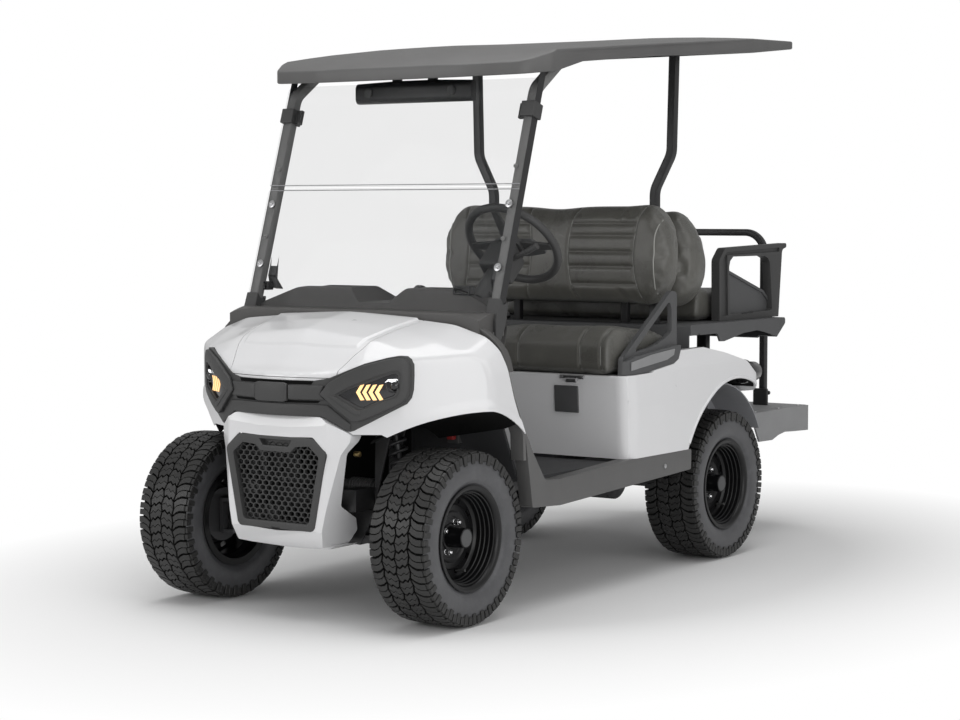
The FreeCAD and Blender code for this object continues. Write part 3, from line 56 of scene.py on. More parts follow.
# Stations of the vehicle in metres: +X its left, +Y its rear, +Z up
FRONT = -1.1675
REAR = 0.5265
AXLE = 0.27828

SIDES = (("left", 1), ("right", -1))
WHITE = (1.0, 1.0, 1.0, 1.0)


# Shader maths


class Field:
    """A number that varies over a surface and takes Python arithmetic."""

    def __init__(self, paint: "Paint", socket: bpy.types.NodeSocket) -> None:
        """Wrap a socket of a material."""
        self.paint = paint
        self.socket = socket

    def maths(self, operation: str, *values: Union["Field", float], clamp: bool = False) -> "Field":
        """Add a Math node.

        Args:
            operation: name of the Math node's operation.
            values: its inputs, in order.
            clamp: whether the result is kept between 0 and 1.

        Returns:
            The node's result.
        """
        settings = {"operation": operation, "use_clamp": clamp}
        return self.paint.node("ShaderNodeMath", settings, dict(enumerate(values)))

    def __add__(self, other: Union["Field", float]) -> "Field":
        """Sum."""
        return self.maths("ADD", self, other)

    __radd__ = __add__

    def __mul__(self, other: Union["Field", float]) -> "Field":
        """Product."""
        return self.maths("MULTIPLY", self, other)

    __rmul__ = __mul__

    def __sub__(self, other: Union["Field", float]) -> "Field":
        """Difference."""
        return self.maths("SUBTRACT", self, other)

    def __rsub__(self, other: Union["Field", float]) -> "Field":
        """Difference from a number."""
        return self.maths("SUBTRACT", other, self)

    def above(self, edge: float, soft: float) -> "Field":
        """Smooth mask that rises to 1 over a soft edge."""
        return self.maths("MULTIPLY_ADD", self, 1 / soft, 0.5 - edge / soft, clamp=True)

    def wave(self, period: float) -> "Field":
        """Sine of the value, with a given period."""
        return self.maths("SINE", self * (math.tau / period))


class Paint:
    """The nodes of a material or of the world, under construction."""

    def __init__(self, name: str, world: bool = False) -> None:
        """Start an empty material or world.

        Args:
            name: its name.
            world: whether the nodes are the world's.
        """
        self.material = (bpy.data.worlds if world else bpy.data.materials).new(name)
        self.material.use_nodes = True
        self.tree = self.material.node_tree
        self.tree.nodes.clear()
        self.place = None if world else self.raw("ShaderNodeTexCoord").outputs["Object"]

    def raw(self, kind: str, settings: Optional[dict] = None,
            values: Optional[dict] = None) -> bpy.types.Node:
        """Add any node: its settings first, then the values or links of its sockets.

        Args:
            kind: node type.
            settings: attributes of the node.
            values: numbers, colours, fields or sockets by input name or index.

        Returns:
            The node.
        """
        made = self.tree.nodes.new(kind)
        for key, value in (settings or {}).items():
            setattr(made, key, value)
        for key, value in (values or {}).items():
            target = made.inputs[key]
            if isinstance(value, Field):
                self.tree.links.new(value.socket, target)
            elif isinstance(value, bpy.types.NodeSocket):
                self.tree.links.new(value, target)
            else:
                target.default_value = value
        return made

    def node(self, kind: str, settings: Optional[dict] = None, values: Optional[dict] = None,
             output: Union[int, str] = 0) -> Field:
        """Add any node and wrap one of its outputs."""
        return Field(self, self.raw(kind, settings, values).outputs[output])

    def axis(self, letter: str) -> Field:
        """One coordinate of the place on the piece, in metres."""
        return self.node("ShaderNodeSeparateXYZ", None, {0: self.place}, letter)

    def stretched(self, scale: Point) -> bpy.types.NodeSocket:
        """Place on the piece, scaled along each axis."""
        return self.raw("ShaderNodeMapping", None, {0: self.place, "Scale": scale}).outputs[0]

    def noise(self, size: float, detail: float = 3.0, rough: float = 0.5,
              place: Optional[bpy.types.NodeSocket] = None) -> Field:
        """Cloudy noise whose lumps have a size in metres."""
        values = {"Vector": place or self.place, "Scale": 1 / size, "Detail": detail, "Roughness": rough}
        return self.node("ShaderNodeTexNoise", None, values)

    def cells(self, size: float, feature: str = "DISTANCE_TO_EDGE") -> Field:
        """Cells of a size in metres."""
        values = {"Vector": self.place, "Scale": 1 / size, "Randomness": 1.0}
        return self.node("ShaderNodeTexVoronoi", {"feature": feature}, values)

    def mixed(self, share: Field, first: Point, second: Point) -> Field:
        """Colour between two others."""
        colours = {0: share, 6: (*first, 1), 7: (*second, 1)}
        return self.node("ShaderNodeMix", {"data_type": "RGBA"}, colours, 2)

    def on_camera(self) -> Field:
        """1 for rays that come straight from the camera or through a pane."""
        path = self.raw("ShaderNodeLightPath").outputs
        values = {0: path["Is Camera Ray"], 1: path["Is Transmission Ray"]}
        return self.node("ShaderNodeMath", {"operation": "MAXIMUM"}, values)

    def surface(self, values: dict, height: Optional[Field] = None,
                relief: float = 0.0) -> bpy.types.Material:
        """Finish the material with one shader.

        Args:
            values: the shader's sockets.
            height: field of the relief.
            relief: depth of the relief in metres.

        Returns:
            The material.
        """
        if height is not None:
            bump = self.raw("ShaderNodeBump", None, {"Strength": 1.0, "Distance": relief, "Height": height})
            values = {**values, "Normal": bump.outputs[0]}
        shader = self.raw("ShaderNodeBsdfPrincipled", None, values)
        self.raw("ShaderNodeOutputMaterial", None, {0: shader.outputs[0]})
        return self.material


class Pattern(Enum):
    """What the surface of a finish looks like close by."""

    PAINT = "paint"
    MOULDED = "moulded"
    LEATHER = "leather"
    POWDER = "powder"
    RUBBER = "rubber"
    CAST = "cast"
    TURNED = "turned"
    RIBBED = "ribbed"
    GLASS = "glass"
    LENS = "lens"
    GLOW = "glow"


@dataclass(frozen=True)
class Finish:
    """One material of the vehicle."""

    name: str
    pattern: Pattern
    colour: tuple[float, float, float]
    roughness: float
    metallic: float = 0.0
    coat: float = 0.0
    grain: float = 0.002
    relief: float = 0.0001
    mottle: float = 0.12
    specular: float = 0.5
    glow: float = 0.0
    see_through: float = 0.0

    def shade(self, factor: float) -> tuple[float, float, float]:
        """The colour made darker or lighter."""
        return tuple(min(c * factor, 1.0) for c in self.colour)

    def build(self) -> bpy.types.Material:
        """Make the material.

        Returns:
            The node material of this finish.
        """
        paint = Paint(self.name)
        cloud = paint.noise(0.12, 4.0)
        fine = paint.noise(self.grain, 3.0, 0.6)
        share = (cloud * 0.6 + fine * 0.4).above(0.5, 0.5)
        values = {
            "Base Color": paint.mixed(share, self.shade(1 - self.mottle), self.shade(1 + self.mottle)),
            "Metallic": self.metallic,
            "Roughness": cloud * 0.12 + (self.roughness - 0.06),
            "Coat Weight": self.coat,
            "Coat Roughness": 0.05,
            "Specular IOR Level": self.specular,
        }
        height: Optional[Field] = None
        if self.pattern is Pattern.PAINT:
            height = fine * 0.5 + paint.noise(self.grain * 6, 1.0) * 0.5
        elif self.pattern is Pattern.MOULDED:
            pits = paint.cells(self.grain, "F1")
            height = pits * 0.7 + fine * 0.5
            values["Roughness"] = pits * 0.15 + cloud * 0.1 + (self.roughness - 0.1)
        elif self.pattern is Pattern.LEATHER:
            crease = paint.cells(self.grain).above(0.08, 0.16)
            pores = paint.cells(self.grain * 0.35, "F1")
            folds = paint.noise(0.05, 2.0, 0.4)
            height = crease * 0.55 + pores * 0.2 + folds * 1.2
            values["Roughness"] = self.roughness + 0.1 - crease * 0.12 + cloud * 0.08
            # Painted shade: the grain's creases are darkened to 0.62 of the colour, lighter in between.
            crease_shade = paint.mixed(crease, self.shade(0.62), self.shade(1.05))
            values["Base Color"] = paint.node("ShaderNodeMix", {"data_type": "RGBA"}, {
                0: cloud.above(0.55, 0.4), 6: crease_shade.socket, 7: (*self.shade(1.25), 1)}, 2)
            values["Sheen Weight"] = 0.12
        elif self.pattern is Pattern.POWDER:
            height = fine
        elif self.pattern is Pattern.RUBBER:
            dust = paint.noise(0.035, 5.0, 0.65).above(0.62, 0.3)
            values["Base Color"] = paint.mixed(dust * 0.5 + share * 0.5, self.shade(0.8), self.shade(1.5))
            values["Roughness"] = dust * 0.12 + self.roughness
            height = fine * 0.6 + paint.cells(self.grain * 2, "F1") * 0.4
        elif self.pattern is Pattern.CAST:
            height = paint.noise(self.grain, 5.0, 0.7) + paint.cells(self.grain * 2, "F1") * 0.5
        elif self.pattern is Pattern.TURNED:
            streak = paint.noise(0.0009, 2.0, 0.6, paint.stretched((1.0, 0.06, 0.06)))
            values["Roughness"] = streak * 0.2 + (self.roughness - 0.08)
            height = streak
        elif self.pattern is Pattern.RIBBED:
            # Painted shade and highlight: the colour follows the ribs, darker in the grooves and lighter on
            # the crests.
            ribs = paint.axis("X").wave(0.012).above(0.0, 1.2) * (1 - paint.axis("Z").above(0.42, 0.01))
            values["Base Color"] = paint.mixed(ribs, self.shade(0.7), self.shade(1.2))
            height = ribs + fine * 0.1
        elif self.pattern is Pattern.GLASS:
            values = {"Base Color": paint.mixed(cloud, self.shade(0.98), self.shade(1.02)),
                      "Roughness": fine * 0.02 + self.roughness,
                      "Alpha": cloud * 0.012 + (1 - self.see_through), "IOR": 1.45}
        elif self.pattern is Pattern.LENS:
            values["Alpha"] = cloud * 0.05 + (1 - self.see_through)
            height = fine
        elif self.pattern is Pattern.GLOW:
            values["Emission Color"] = paint.mixed(share, self.shade(0.85), self.shade(1.1))
            values["Emission Strength"] = self.glow
            height = fine
        return paint.surface(values, height, self.relief)


FINISHES = {finish.name: finish for finish in (
    Finish("pearl_white", Pattern.PAINT, (0.78, 0.78, 0.79), 0.3, coat=0.7, grain=0.004,
           relief=0.00004, mottle=0.015),
    Finish("black_plastic", Pattern.MOULDED, (0.05, 0.05, 0.05), 0.48, grain=0.0016, relief=0.0002),
    Finish("grey_plastic", Pattern.MOULDED, (0.082, 0.083, 0.085), 0.5, grain=0.0018, relief=0.0002),
    Finish("roof_plastic", Pattern.MOULDED, (0.11, 0.109, 0.108), 0.42, grain=0.0016, relief=0.00012),
    Finish("gloss_black", Pattern.PAINT, (0.012, 0.012, 0.013), 0.22, coat=0.6, relief=0.00003),
    Finish("black_steel", Pattern.POWDER, (0.02, 0.02, 0.021), 0.4, grain=0.001, relief=0.00008),
    Finish("strut_paint", Pattern.POWDER, (0.19, 0.19, 0.188), 0.42, grain=0.001, relief=0.00006),
    Finish("deep_shadow", Pattern.MOULDED, (0.003, 0.003, 0.003), 0.8, specular=0.15, relief=0.00005),
    Finish("seal", Pattern.RUBBER, (0.32, 0.32, 0.33), 0.6, grain=0.0008, relief=0.00005),
    Finish("rim_paint", Pattern.PAINT, (0.004, 0.004, 0.0045), 0.34, specular=0.4, relief=0.00002),
    Finish("fender_plastic", Pattern.MOULDED, (0.3, 0.303, 0.32), 0.45, grain=0.002, relief=0.0001),
    Finish("dash_plastic", Pattern.MOULDED, (0.078, 0.076, 0.074), 0.46, grain=0.0016, relief=0.00015),
    Finish("bare_steel", Pattern.TURNED, (0.55, 0.55, 0.56), 0.3, metallic=1.0, relief=0.00003),
    Finish("chrome", Pattern.TURNED, (0.85, 0.85, 0.86), 0.12, metallic=1.0, relief=0.00001),
    Finish("cast_metal", Pattern.CAST, (0.13, 0.13, 0.135), 0.6, metallic=0.6, grain=0.003,
           relief=0.0004),
    # Painted light: the sidewall rubber is lighter than the tread rubber of the same tyre, a painted sheen
    # on the sidewalls and painted shade on the tread.
    Finish("tyre_rubber", Pattern.RUBBER, (0.08, 0.0805, 0.085), 0.38, grain=0.0012, relief=0.00012),
    Finish("tread_rubber", Pattern.RUBBER, (0.022, 0.0217, 0.0212), 0.4, specular=0.45, grain=0.0012,
           relief=0.00012),
    Finish("seat_leather", Pattern.LEATHER, (0.088, 0.086, 0.075), 0.26, specular=0.85, grain=0.0032,
           relief=0.0004),
    Finish("piping", Pattern.LEATHER, (0.36, 0.36, 0.34), 0.45, grain=0.0012, relief=0.0001),
    Finish("floor_mat", Pattern.RIBBED, (0.05, 0.051, 0.054), 0.6, grain=0.001, relief=0.0012),
    Finish("footplate_coat", Pattern.MOULDED, (0.27, 0.271, 0.275), 0.5, grain=0.002, relief=0.0002),
    Finish("battery_case", Pattern.MOULDED, (0.05, 0.05, 0.055), 0.6),
    Finish("clear_glass", Pattern.GLASS, (0.05, 0.053, 0.056), 0.03, see_through=0.912,
           relief=0.000005),
    Finish("lamp_lens", Pattern.PAINT, (0.012, 0.012, 0.014), 0.12, coat=1.0, relief=0.00002),
    Finish("red_lens", Pattern.LENS, (0.4, 0.012, 0.012), 0.15, coat=1.0, relief=0.0001),
    Finish("amber_glow", Pattern.GLOW, (1.0, 0.58, 0.26), 0.3, glow=1.1),
    Finish("white_glow", Pattern.GLOW, (0.95, 0.97, 1.0), 0.2, glow=1.3),
    Finish("brass", Pattern.TURNED, (0.75, 0.55, 0.25), 0.3, metallic=1.0),
    Finish("red_plastic", Pattern.MOULDED, (0.3, 0.02, 0.02), 0.4),
)}


class Paintbox:
    """The materials, each made once when a piece first asks for it."""

    made: dict[str, bpy.types.Material] = {}

    @classmethod
    def take(cls, name: str) -> bpy.types.Material:
        """The material of a finish."""
        if name not in cls.made:
            cls.made[name] = FINISHES[name].build()
        return cls.made[name]


# Modelling


class Bench:
    """Modelling steps that the sub-assemblies share."""

    @staticmethod
    def alone(obj: Piece) -> Piece:
        """Select one object only and make it the active one.

        Args:
            obj: the object.

        Returns:
            The same object.
        """
        if bpy.context.object and bpy.context.object.mode != "OBJECT":
            bpy.ops.object.mode_set(mode="OBJECT")
        bpy.ops.object.select_all(action="DESELECT")
        obj.hide_viewport = False
        obj.select_set(True)
        bpy.context.view_layer.objects.active = obj
        return obj

    @staticmethod
    @contextmanager
    def editing(obj: Piece) -> Iterator[None]:
        """Edit mode on one object, with all of it selected.

        Args:
            obj: the object.

        Returns:
            A context in which edit operators act on it.
        """
        Bench.alone(obj)
        bpy.ops.object.mode_set(mode="EDIT")
        bpy.ops.mesh.select_all(action="SELECT")
        yield
        bpy.ops.object.mode_set(mode="OBJECT")

    @staticmethod
    def fresh(primitive: Callable[..., set], **settings: object) -> Piece:
        """Add a primitive with nothing else selected."""
        bpy.ops.object.select_all(action="DESELECT")
        primitive(**settings)
        return bpy.context.object

    @staticmethod
    def settle(obj: Piece) -> Piece:
        """Put the object's place into its mesh."""
        Bench.alone(obj)
        bpy.ops.object.transform_apply(location=True, rotation=True, scale=True)
        return obj

    @staticmethod
    def points(obj: Piece, key: str = "co") -> np.ndarray:
        """Place, or another vector, of all vertices of a mesh, as an array."""
        out = np.empty(len(obj.data.vertices) * 3, dtype=np.float32)
        obj.data.vertices.foreach_get(key, out)
        return out.reshape(-1, 3).astype(float)

    @staticmethod
    def set_points(obj: Piece, places: np.ndarray) -> Piece:
        """Move all vertices of a mesh."""
        obj.data.vertices.foreach_set("co", places.astype(np.float32).ravel())
        obj.data.update()
        return obj

    @staticmethod
    def block(low: Point, high: Point, radius: float = 0.0, segments: int = 2) -> Piece:
        """A box between two corners with rounded edges.

        Args:
            low: lowest corner.
            high: highest corner.
            radius: radius of its edges.
            segments: steps of the rounding.

        Returns:
            The object.
        """
        middle = [(a + b) / 2 for a, b in zip(low, high)]
        made = Bench.fresh(bpy.ops.mesh.primitive_cube_add, size=1, location=middle)
        made.scale = [abs(b - a) for a, b in zip(low, high)]
        Bench.settle(made)
        return Bench.bevel(made, radius, segments) if radius else made

    @staticmethod
    def rod(start: Point, end: Point, radius: float, sides: int = 32, edge: float = 0.0,
            tip: Optional[float] = None) -> Piece:
        """A round bar between two points.

        Args:
            start: middle of one end.
            end: middle of the other end.
            radius: its radius at the start.
            sides: number of sides.
            edge: width of its bevelled edges.
            tip: its radius at the end, where that differs.

        Returns:
            The object.
        """
        start, end = Vector(start), Vector(end)
        along = end - start
        made = Bench.settle(Bench.fresh(
            bpy.ops.mesh.primitive_cone_add, vertices=sides, radius1=radius,
            radius2=radius if tip is None else tip, depth=along.length, location=(start + end) / 2,
            rotation=along.to_track_quat("Z", "Y").to_euler()))
        if edge:
            Bench.bevel(made, edge, 2)
        return Bench.smooth(made)

    @staticmethod
    def ring(centre: Point, normal: Point, radius: float, thick: float, steps: int = 64,
             sides: int = 12) -> Piece:
        """A round ring.

        Args:
            centre: its middle.
            normal: direction of its axis.
            radius: its radius.
            thick: radius of its section.
            steps: steps round it.
            sides: sides of its section.

        Returns:
            The object.
        """
        return Bench.smooth(Bench.settle(Bench.fresh(
            bpy.ops.mesh.primitive_torus_add, major_radius=radius, minor_radius=thick,
            major_segments=steps, minor_segments=sides, location=centre,
            rotation=Vector(normal).to_track_quat("Z", "Y").to_euler())), 180)

    @staticmethod
    def outline(points: Outline, place: Callable[[float, float], Point]) -> Piece:
        """A flat face with a given outline.

        Args:
            points: corners as pairs.
            place: where a pair lies in space.

        Returns:
            The object with one face.
        """
        made = Bench.fresh(bpy.ops.mesh.primitive_circle_add, vertices=len(points), fill_type="NGON")
        return Bench.set_points(made, np.array([place(a, b) for a, b in points]))

    @staticmethod
    def prism(points: Outline, place: Callable[[float, float], Point], depth: Point) -> Piece:
        """An outline extruded by a vector.

        Args:
            points: corners as pairs.
            place: where a pair lies in space.
            depth: vector of the extrusion.

        Returns:
            The closed solid.
        """
        return Bench.extruded(Bench.outline(points, place), depth)

    @staticmethod
    def extruded(obj: Piece, depth: Point) -> Piece:
        """Give an open surface a depth and close it.

        Args:
            obj: the surface.
            depth: vector of the extrusion.

        Returns:
            The closed solid.
        """
        with Bench.editing(obj):
            bpy.ops.mesh.extrude_region_move(TRANSFORM_OT_translate={"value": tuple(depth)})
            bpy.ops.mesh.select_all(action="SELECT")
            bpy.ops.mesh.normals_make_consistent(inside=False)
        return obj

    @staticmethod
    def shifted(points: Outline, shift: float) -> list:
        """An outline moved in its first direction, from a station of the vehicle."""
        return [(shift + a, b) for a, b in points]

    @staticmethod
    def both(points: Outline) -> list:
        """An outline and its image on the vehicle's other side."""
        return list(points) + [(-x, z) for x, z in reversed(points)]

    @staticmethod
    def side_prism(points: Outline, x0: float, x1: float) -> Piece:
        """A side outline (y, z) extruded across the vehicle."""
        return Bench.prism(points, lambda y, z: (x0, y, z), (x1 - x0, 0, 0))

    @staticmethod
    def front_prism(points: Outline, y0: float, y1: float) -> Piece:
        """A front outline (x, z) extruded along the vehicle."""
        return Bench.prism(points, lambda x, z: (x, y0, z), (0, y1 - y0, 0))

    @staticmethod
    def plan_prism(points: Outline, z0: float, z1: float) -> Piece:
        """A plan outline (x, y) extruded upwards."""
        return Bench.prism(points, lambda x, y: (x, y, z0), (0, 0, z1 - z0))

    @staticmethod
    def spun(profile: Outline, steps: int, sharp: float) -> Piece:
        """A closed profile (along, radius) spun about the X axis.

        Args:
            profile: corners of the closed profile.
            steps: number of steps round the axis.
            sharp: angle in degrees above which an edge stays sharp.

        Returns:
            The object.
        """
        made = Bench.outline(profile, lambda along, radius: (along, 0, radius))
        with Bench.editing(made):
            bpy.ops.mesh.delete(type="ONLY_FACE")
            bpy.ops.mesh.select_all(action="SELECT")
            bpy.ops.mesh.spin(steps=steps, angle=math.tau, center=(0, 0, 0), axis=(1, 0, 0))
            bpy.ops.mesh.select_all(action="SELECT")
            bpy.ops.mesh.remove_doubles(threshold=0.00002)
            bpy.ops.mesh.normals_make_consistent(inside=False)
        return Bench.smooth(made, sharp)

    @staticmethod
    def tube(path: Sequence[Point], radius: float, sides: int = 2) -> Piece:
        """A round tube along points.

        Args:
            path: points that it passes near.
            radius: its radius.
            sides: resolution of its section.

        Returns:
            The tube as a mesh.
        """
        line = bpy.data.curves.new("tube", "CURVE")
        line.dimensions = "3D"
        line.bevel_depth = radius
        line.bevel_resolution = sides
        line.use_fill_caps = True
        line.resolution_u = 6
        spline = line.splines.new("NURBS")
        spline.points.add(len(path) - 1)
        for target, point in zip(spline.points, path):
            target.co = (*point, 1)
        spline.order_u = min(4, len(path))
        spline.use_endpoint_u = True
        made = bpy.data.objects.new("tube", line)
        bpy.context.scene.collection.objects.link(made)
        Bench.alone(made)
        bpy.ops.object.convert(target="MESH")
        return Bench.smooth(bpy.context.object, 60)

    @staticmethod
    def modified(obj: Piece, kind: str, **settings: object) -> Piece:
        """Add a modifier and apply it.

        Args:
            obj: the piece.
            kind: type of the modifier.
            settings: its settings.

        Returns:
            The piece.
        """
        Bench.alone(obj)
        modifier = obj.modifiers.new(kind, kind)
        for key, value in settings.items():
            setattr(modifier, key, value)
        bpy.ops.object.modifier_apply(modifier=modifier.name)
        return obj

    @staticmethod
    def rowed(obj: Piece, count: int, step: Point) -> Piece:
        """A row of copies of a piece, joined."""
        return Bench.modified(obj, "ARRAY", count=count, use_relative_offset=False,
                              use_constant_offset=True, constant_offset_displace=step)

    @staticmethod
    def bevel(obj: Piece, width: float, segments: int = 2, angle: float = 30) -> Piece:
        """Round the sharp edges."""
        return Bench.modified(obj, "BEVEL", width=width, segments=segments, limit_method="ANGLE",
                              angle_limit=math.radians(angle), harden_normals=False)

    @staticmethod
    def rounded(obj: Piece, voxel: float, steps: int) -> Piece:
        """Even mesh over a solid, with its edges worn round."""
        Bench.modified(obj, "REMESH", mode="VOXEL", voxel_size=voxel)
        return Bench.modified(obj, "SMOOTH", factor=0.6, iterations=steps)

    @staticmethod
    def divided(obj: Piece, levels: int, simple: bool = False) -> Piece:
        """Subdivide the surface."""
        return Bench.modified(obj, "SUBSURF", levels=levels, render_levels=levels,
                              subdivision_type="SIMPLE" if simple else "CATMULL_CLARK")

    @staticmethod
    def combined(obj: Piece, tool: Piece, operation: str = "DIFFERENCE") -> Piece:
        """Cut or intersect with another solid, which is used up."""
        Bench.modified(obj, "BOOLEAN", object=tool, operation=operation, solver="EXACT")
        bpy.data.objects.remove(tool)
        return obj

    @staticmethod
    def smooth(obj: Piece, angle: float = 35) -> Piece:
        """Shade smooth up to an angle."""
        Bench.alone(obj)
        bpy.ops.object.shade_smooth_by_angle(angle=math.radians(angle))
        return obj

    @staticmethod
    def joined(parts: Iterable[Piece]) -> Piece:
        """Make one object of several.

        Args:
            parts: the objects.

        Returns:
            The one object.
        """
        parts = list(parts)
        Bench.alone(parts[0])
        for part in parts:
            part.select_set(True)
        if len(parts) > 1:
            bpy.ops.object.join()
        return bpy.context.object

    @staticmethod
    def twin(obj: Piece, matrix: Optional[Matrix] = None) -> Piece:
        """A copy with its own mesh, moved by a matrix.

        Args:
            obj: the piece.
            matrix: how the copy moves.

        Returns:
            The copy.
        """
        made = obj.copy()
        made.data = obj.data.copy()
        bpy.context.scene.collection.objects.link(made)
        if matrix is not None:
            made.data.transform(matrix)
            if matrix.determinant() < 0:
                made.data.flip_normals()
        return made

    @staticmethod
    def mirrored(obj: Piece) -> Piece:
        """The piece and its image on the vehicle's other side, as one."""
        return Bench.joined([obj, Bench.twin(obj, Matrix.Scale(-1, 4, (1, 0, 0)))])

    @staticmethod
    def copied(node: str, edge: float = 0.0, segments: int = 2, angle: float = 32) -> Piece:
        """A merged and smoothed copy of a CAD node.

        Args:
            node: the node's name.
            edge: width of its rounded edges.
            segments: steps of the rounding.
            angle: angle above which an edge is rounded or stays sharp.

        Returns:
            The copy.
        """
        made = Bench.alone(Bench.twin(frame["nodes"][node]))
        made.hide_render = False
        world = made.matrix_world.copy()
        made.parent = None
        made.matrix_world = world
        with Bench.editing(Bench.settle(made)):
            bpy.ops.mesh.remove_doubles(threshold=0.00003)
            bpy.ops.mesh.dissolve_limited(angle_limit=math.radians(1.0))
            bpy.ops.mesh.customdata_custom_splitnormals_clear()
        if edge:
            Bench.bevel(made, edge, segments, angle)
        return Bench.smooth(made, angle)

    @staticmethod
    def dress(obj: Piece, name: str, finish: str, body: str = "chassis",
              replaces: Sequence[str] = ()) -> Piece:
        """Name a finished piece, give it its finish and put it on a body.

        Args:
            obj: the piece.
            name: its name.
            finish: name of its finish.
            body: the body that it moves with.
            replaces: CAD nodes that it stands for.

        Returns:
            The piece.
        """
        obj.name = name
        obj.data.name = name
        obj.data.materials.clear()
        obj.data.materials.append(Paintbox.take(finish))
        for polygon in obj.data.polygons:
            polygon.material_index = 0
        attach(obj, body)
        if replaces:
            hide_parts(*replaces)
        LOG.info("%s: %d faces", name, len(obj.data.polygons))
        return obj

    @staticmethod
    def stand(obj: Piece, node: str, finish: str, body: str = "chassis") -> Piece:
        """Dress a finished piece that stands for one CAD node."""
        return Bench.dress(obj, f"{node}_dressed", finish, body, [node])


# Wheels


@dataclass
class Tyre:
    """All-terrain tyre with sliced centre blocks and stepped shoulder blocks."""

    radius: float = 0.2783
    pitches: int = 36
    sunk: float = 0.022
    side_tabs: tuple = ((-0.003, 0.0196, 0.037, 0.1048), (0.0194, 0.0192, 0.028, 0.104))
    pitch: float = field(init=False)

    def __post_init__(self) -> None:
        """Work out the length of one repeat of the tread."""
        self.pitch = math.tau * self.radius / self.pitches

    def crown(self, across: np.ndarray) -> np.ndarray:
        """Radius of the tread surface at a distance from the middle."""
        return self.radius - 0.0045 * (np.abs(across) / 0.098) ** 4

    def carcass(self) -> Piece:
        """Sidewalls and the ground of the tread.

        Returns:
            The spun body of the tyre.
        """
        flank = [
            (0.088, 0.1529), (0.0868, 0.17), (0.088, 0.1722), (0.0925, 0.1762), (0.0932, 0.1785),
            (0.095, 0.18), (0.0978, 0.185), (0.1, 0.191), (0.1014, 0.198), (0.1022, 0.205),
            (0.1026, 0.212), (0.1026, 0.22), (0.1022, 0.228), (0.1013, 0.235), (0.0996, 0.243),
            (0.0975, 0.252), (0.0945, 0.259), (0.08, 0.265), (0.04, 0.2668),
        ]
        right = [(-a, r) for a, r in reversed(flank)]
        return Bench.spun(flank + [(0.0, 0.2672)] + right, 120, 50)

    def ground(self) -> Piece:
        """Thin near-black band at the bottom of the grooves: painted shade in the grooves."""
        top = [(0.0, 0.2684), (0.04, 0.268), (0.08, 0.266), (0.0925, 0.2625), (0.0925, 0.256)]
        return Bench.spun([(-a, r) for a, r in reversed(top[1:])] + top, 120, 50)

    def blocks(self) -> list[list[tuple[float, float]]]:
        """Outlines of the blocks of one repeat, as millimetres across and along.

        Returns:
            One outline for each block.
        """
        centre = [(-44, 12), (-35, 1), (-27, 7), (-14, -4), (-5.5, 1)]
        centre_far = [(-49, 13), (-35, 1), (-27, 7), (-14, -4), (0.5, 3)]
        shoulder = [(-99, -3), (-78, -3), (-63, 3), (-50.5, 13)]
        shoulder_far = [(-99, -3), (-78, -3), (-63, 3), (-55.5, 12)]
        short = [(-94.5, -3), (-78, -3), (-63, 3), (-50.5, 13)]
        short_far = [(-94.5, -3), (-78, -3), (-63, 3), (-55.5, 12)]
        left = []
        for near, far, low, high in ((centre, centre_far, 0, 19.9), (centre_far, centre, 21.9, 41.8),
                                     (shoulder, shoulder_far, 0, 19.6), (short_far, short, 22.2, 41.4)):
            left.append([(x, s + low) for x, s in near] + [(x, s + high) for x, s in reversed(far)])
        shift = self.pitch * 500
        return left + [[(-x, s + shift) for x, s in reversed(outline)] for outline in left]

    def tread(self) -> Piece:
        """All the blocks, one repeat made and copied round.

        Returns:
            The blocks as one object.
        """
        solids = []
        for outline in self.blocks():
            solid = Bench.plan_prism([(x / 1000, s / 1000) for x, s in outline], -self.sunk, 0.0)
            solids.append(Bench.bevel(solid, 0.0009, 1))
        for side in (1, -1):
            shift = 0.0 if side < 0 else self.pitch / 2
            for start, length, reach, out in self.side_tabs:
                solids.append(Bench.block((side * 0.088, start + shift, -reach),
                                          (side * out, start + shift + length, -0.004), 0.0013, 1))
        strip = Bench.rowed(Bench.joined(solids), self.pitches, (0, self.pitch, 0))
        flat = Bench.points(strip)
        angle = flat[:, 1] / self.radius
        reach = self.crown(flat[:, 0]) + flat[:, 2]
        places = np.stack([flat[:, 0], reach * np.sin(angle), reach * np.cos(angle)], 1)
        with Bench.editing(Bench.set_points(strip, places)):
            bpy.ops.mesh.normals_make_consistent(inside=False)
        return Bench.smooth(strip, 20)


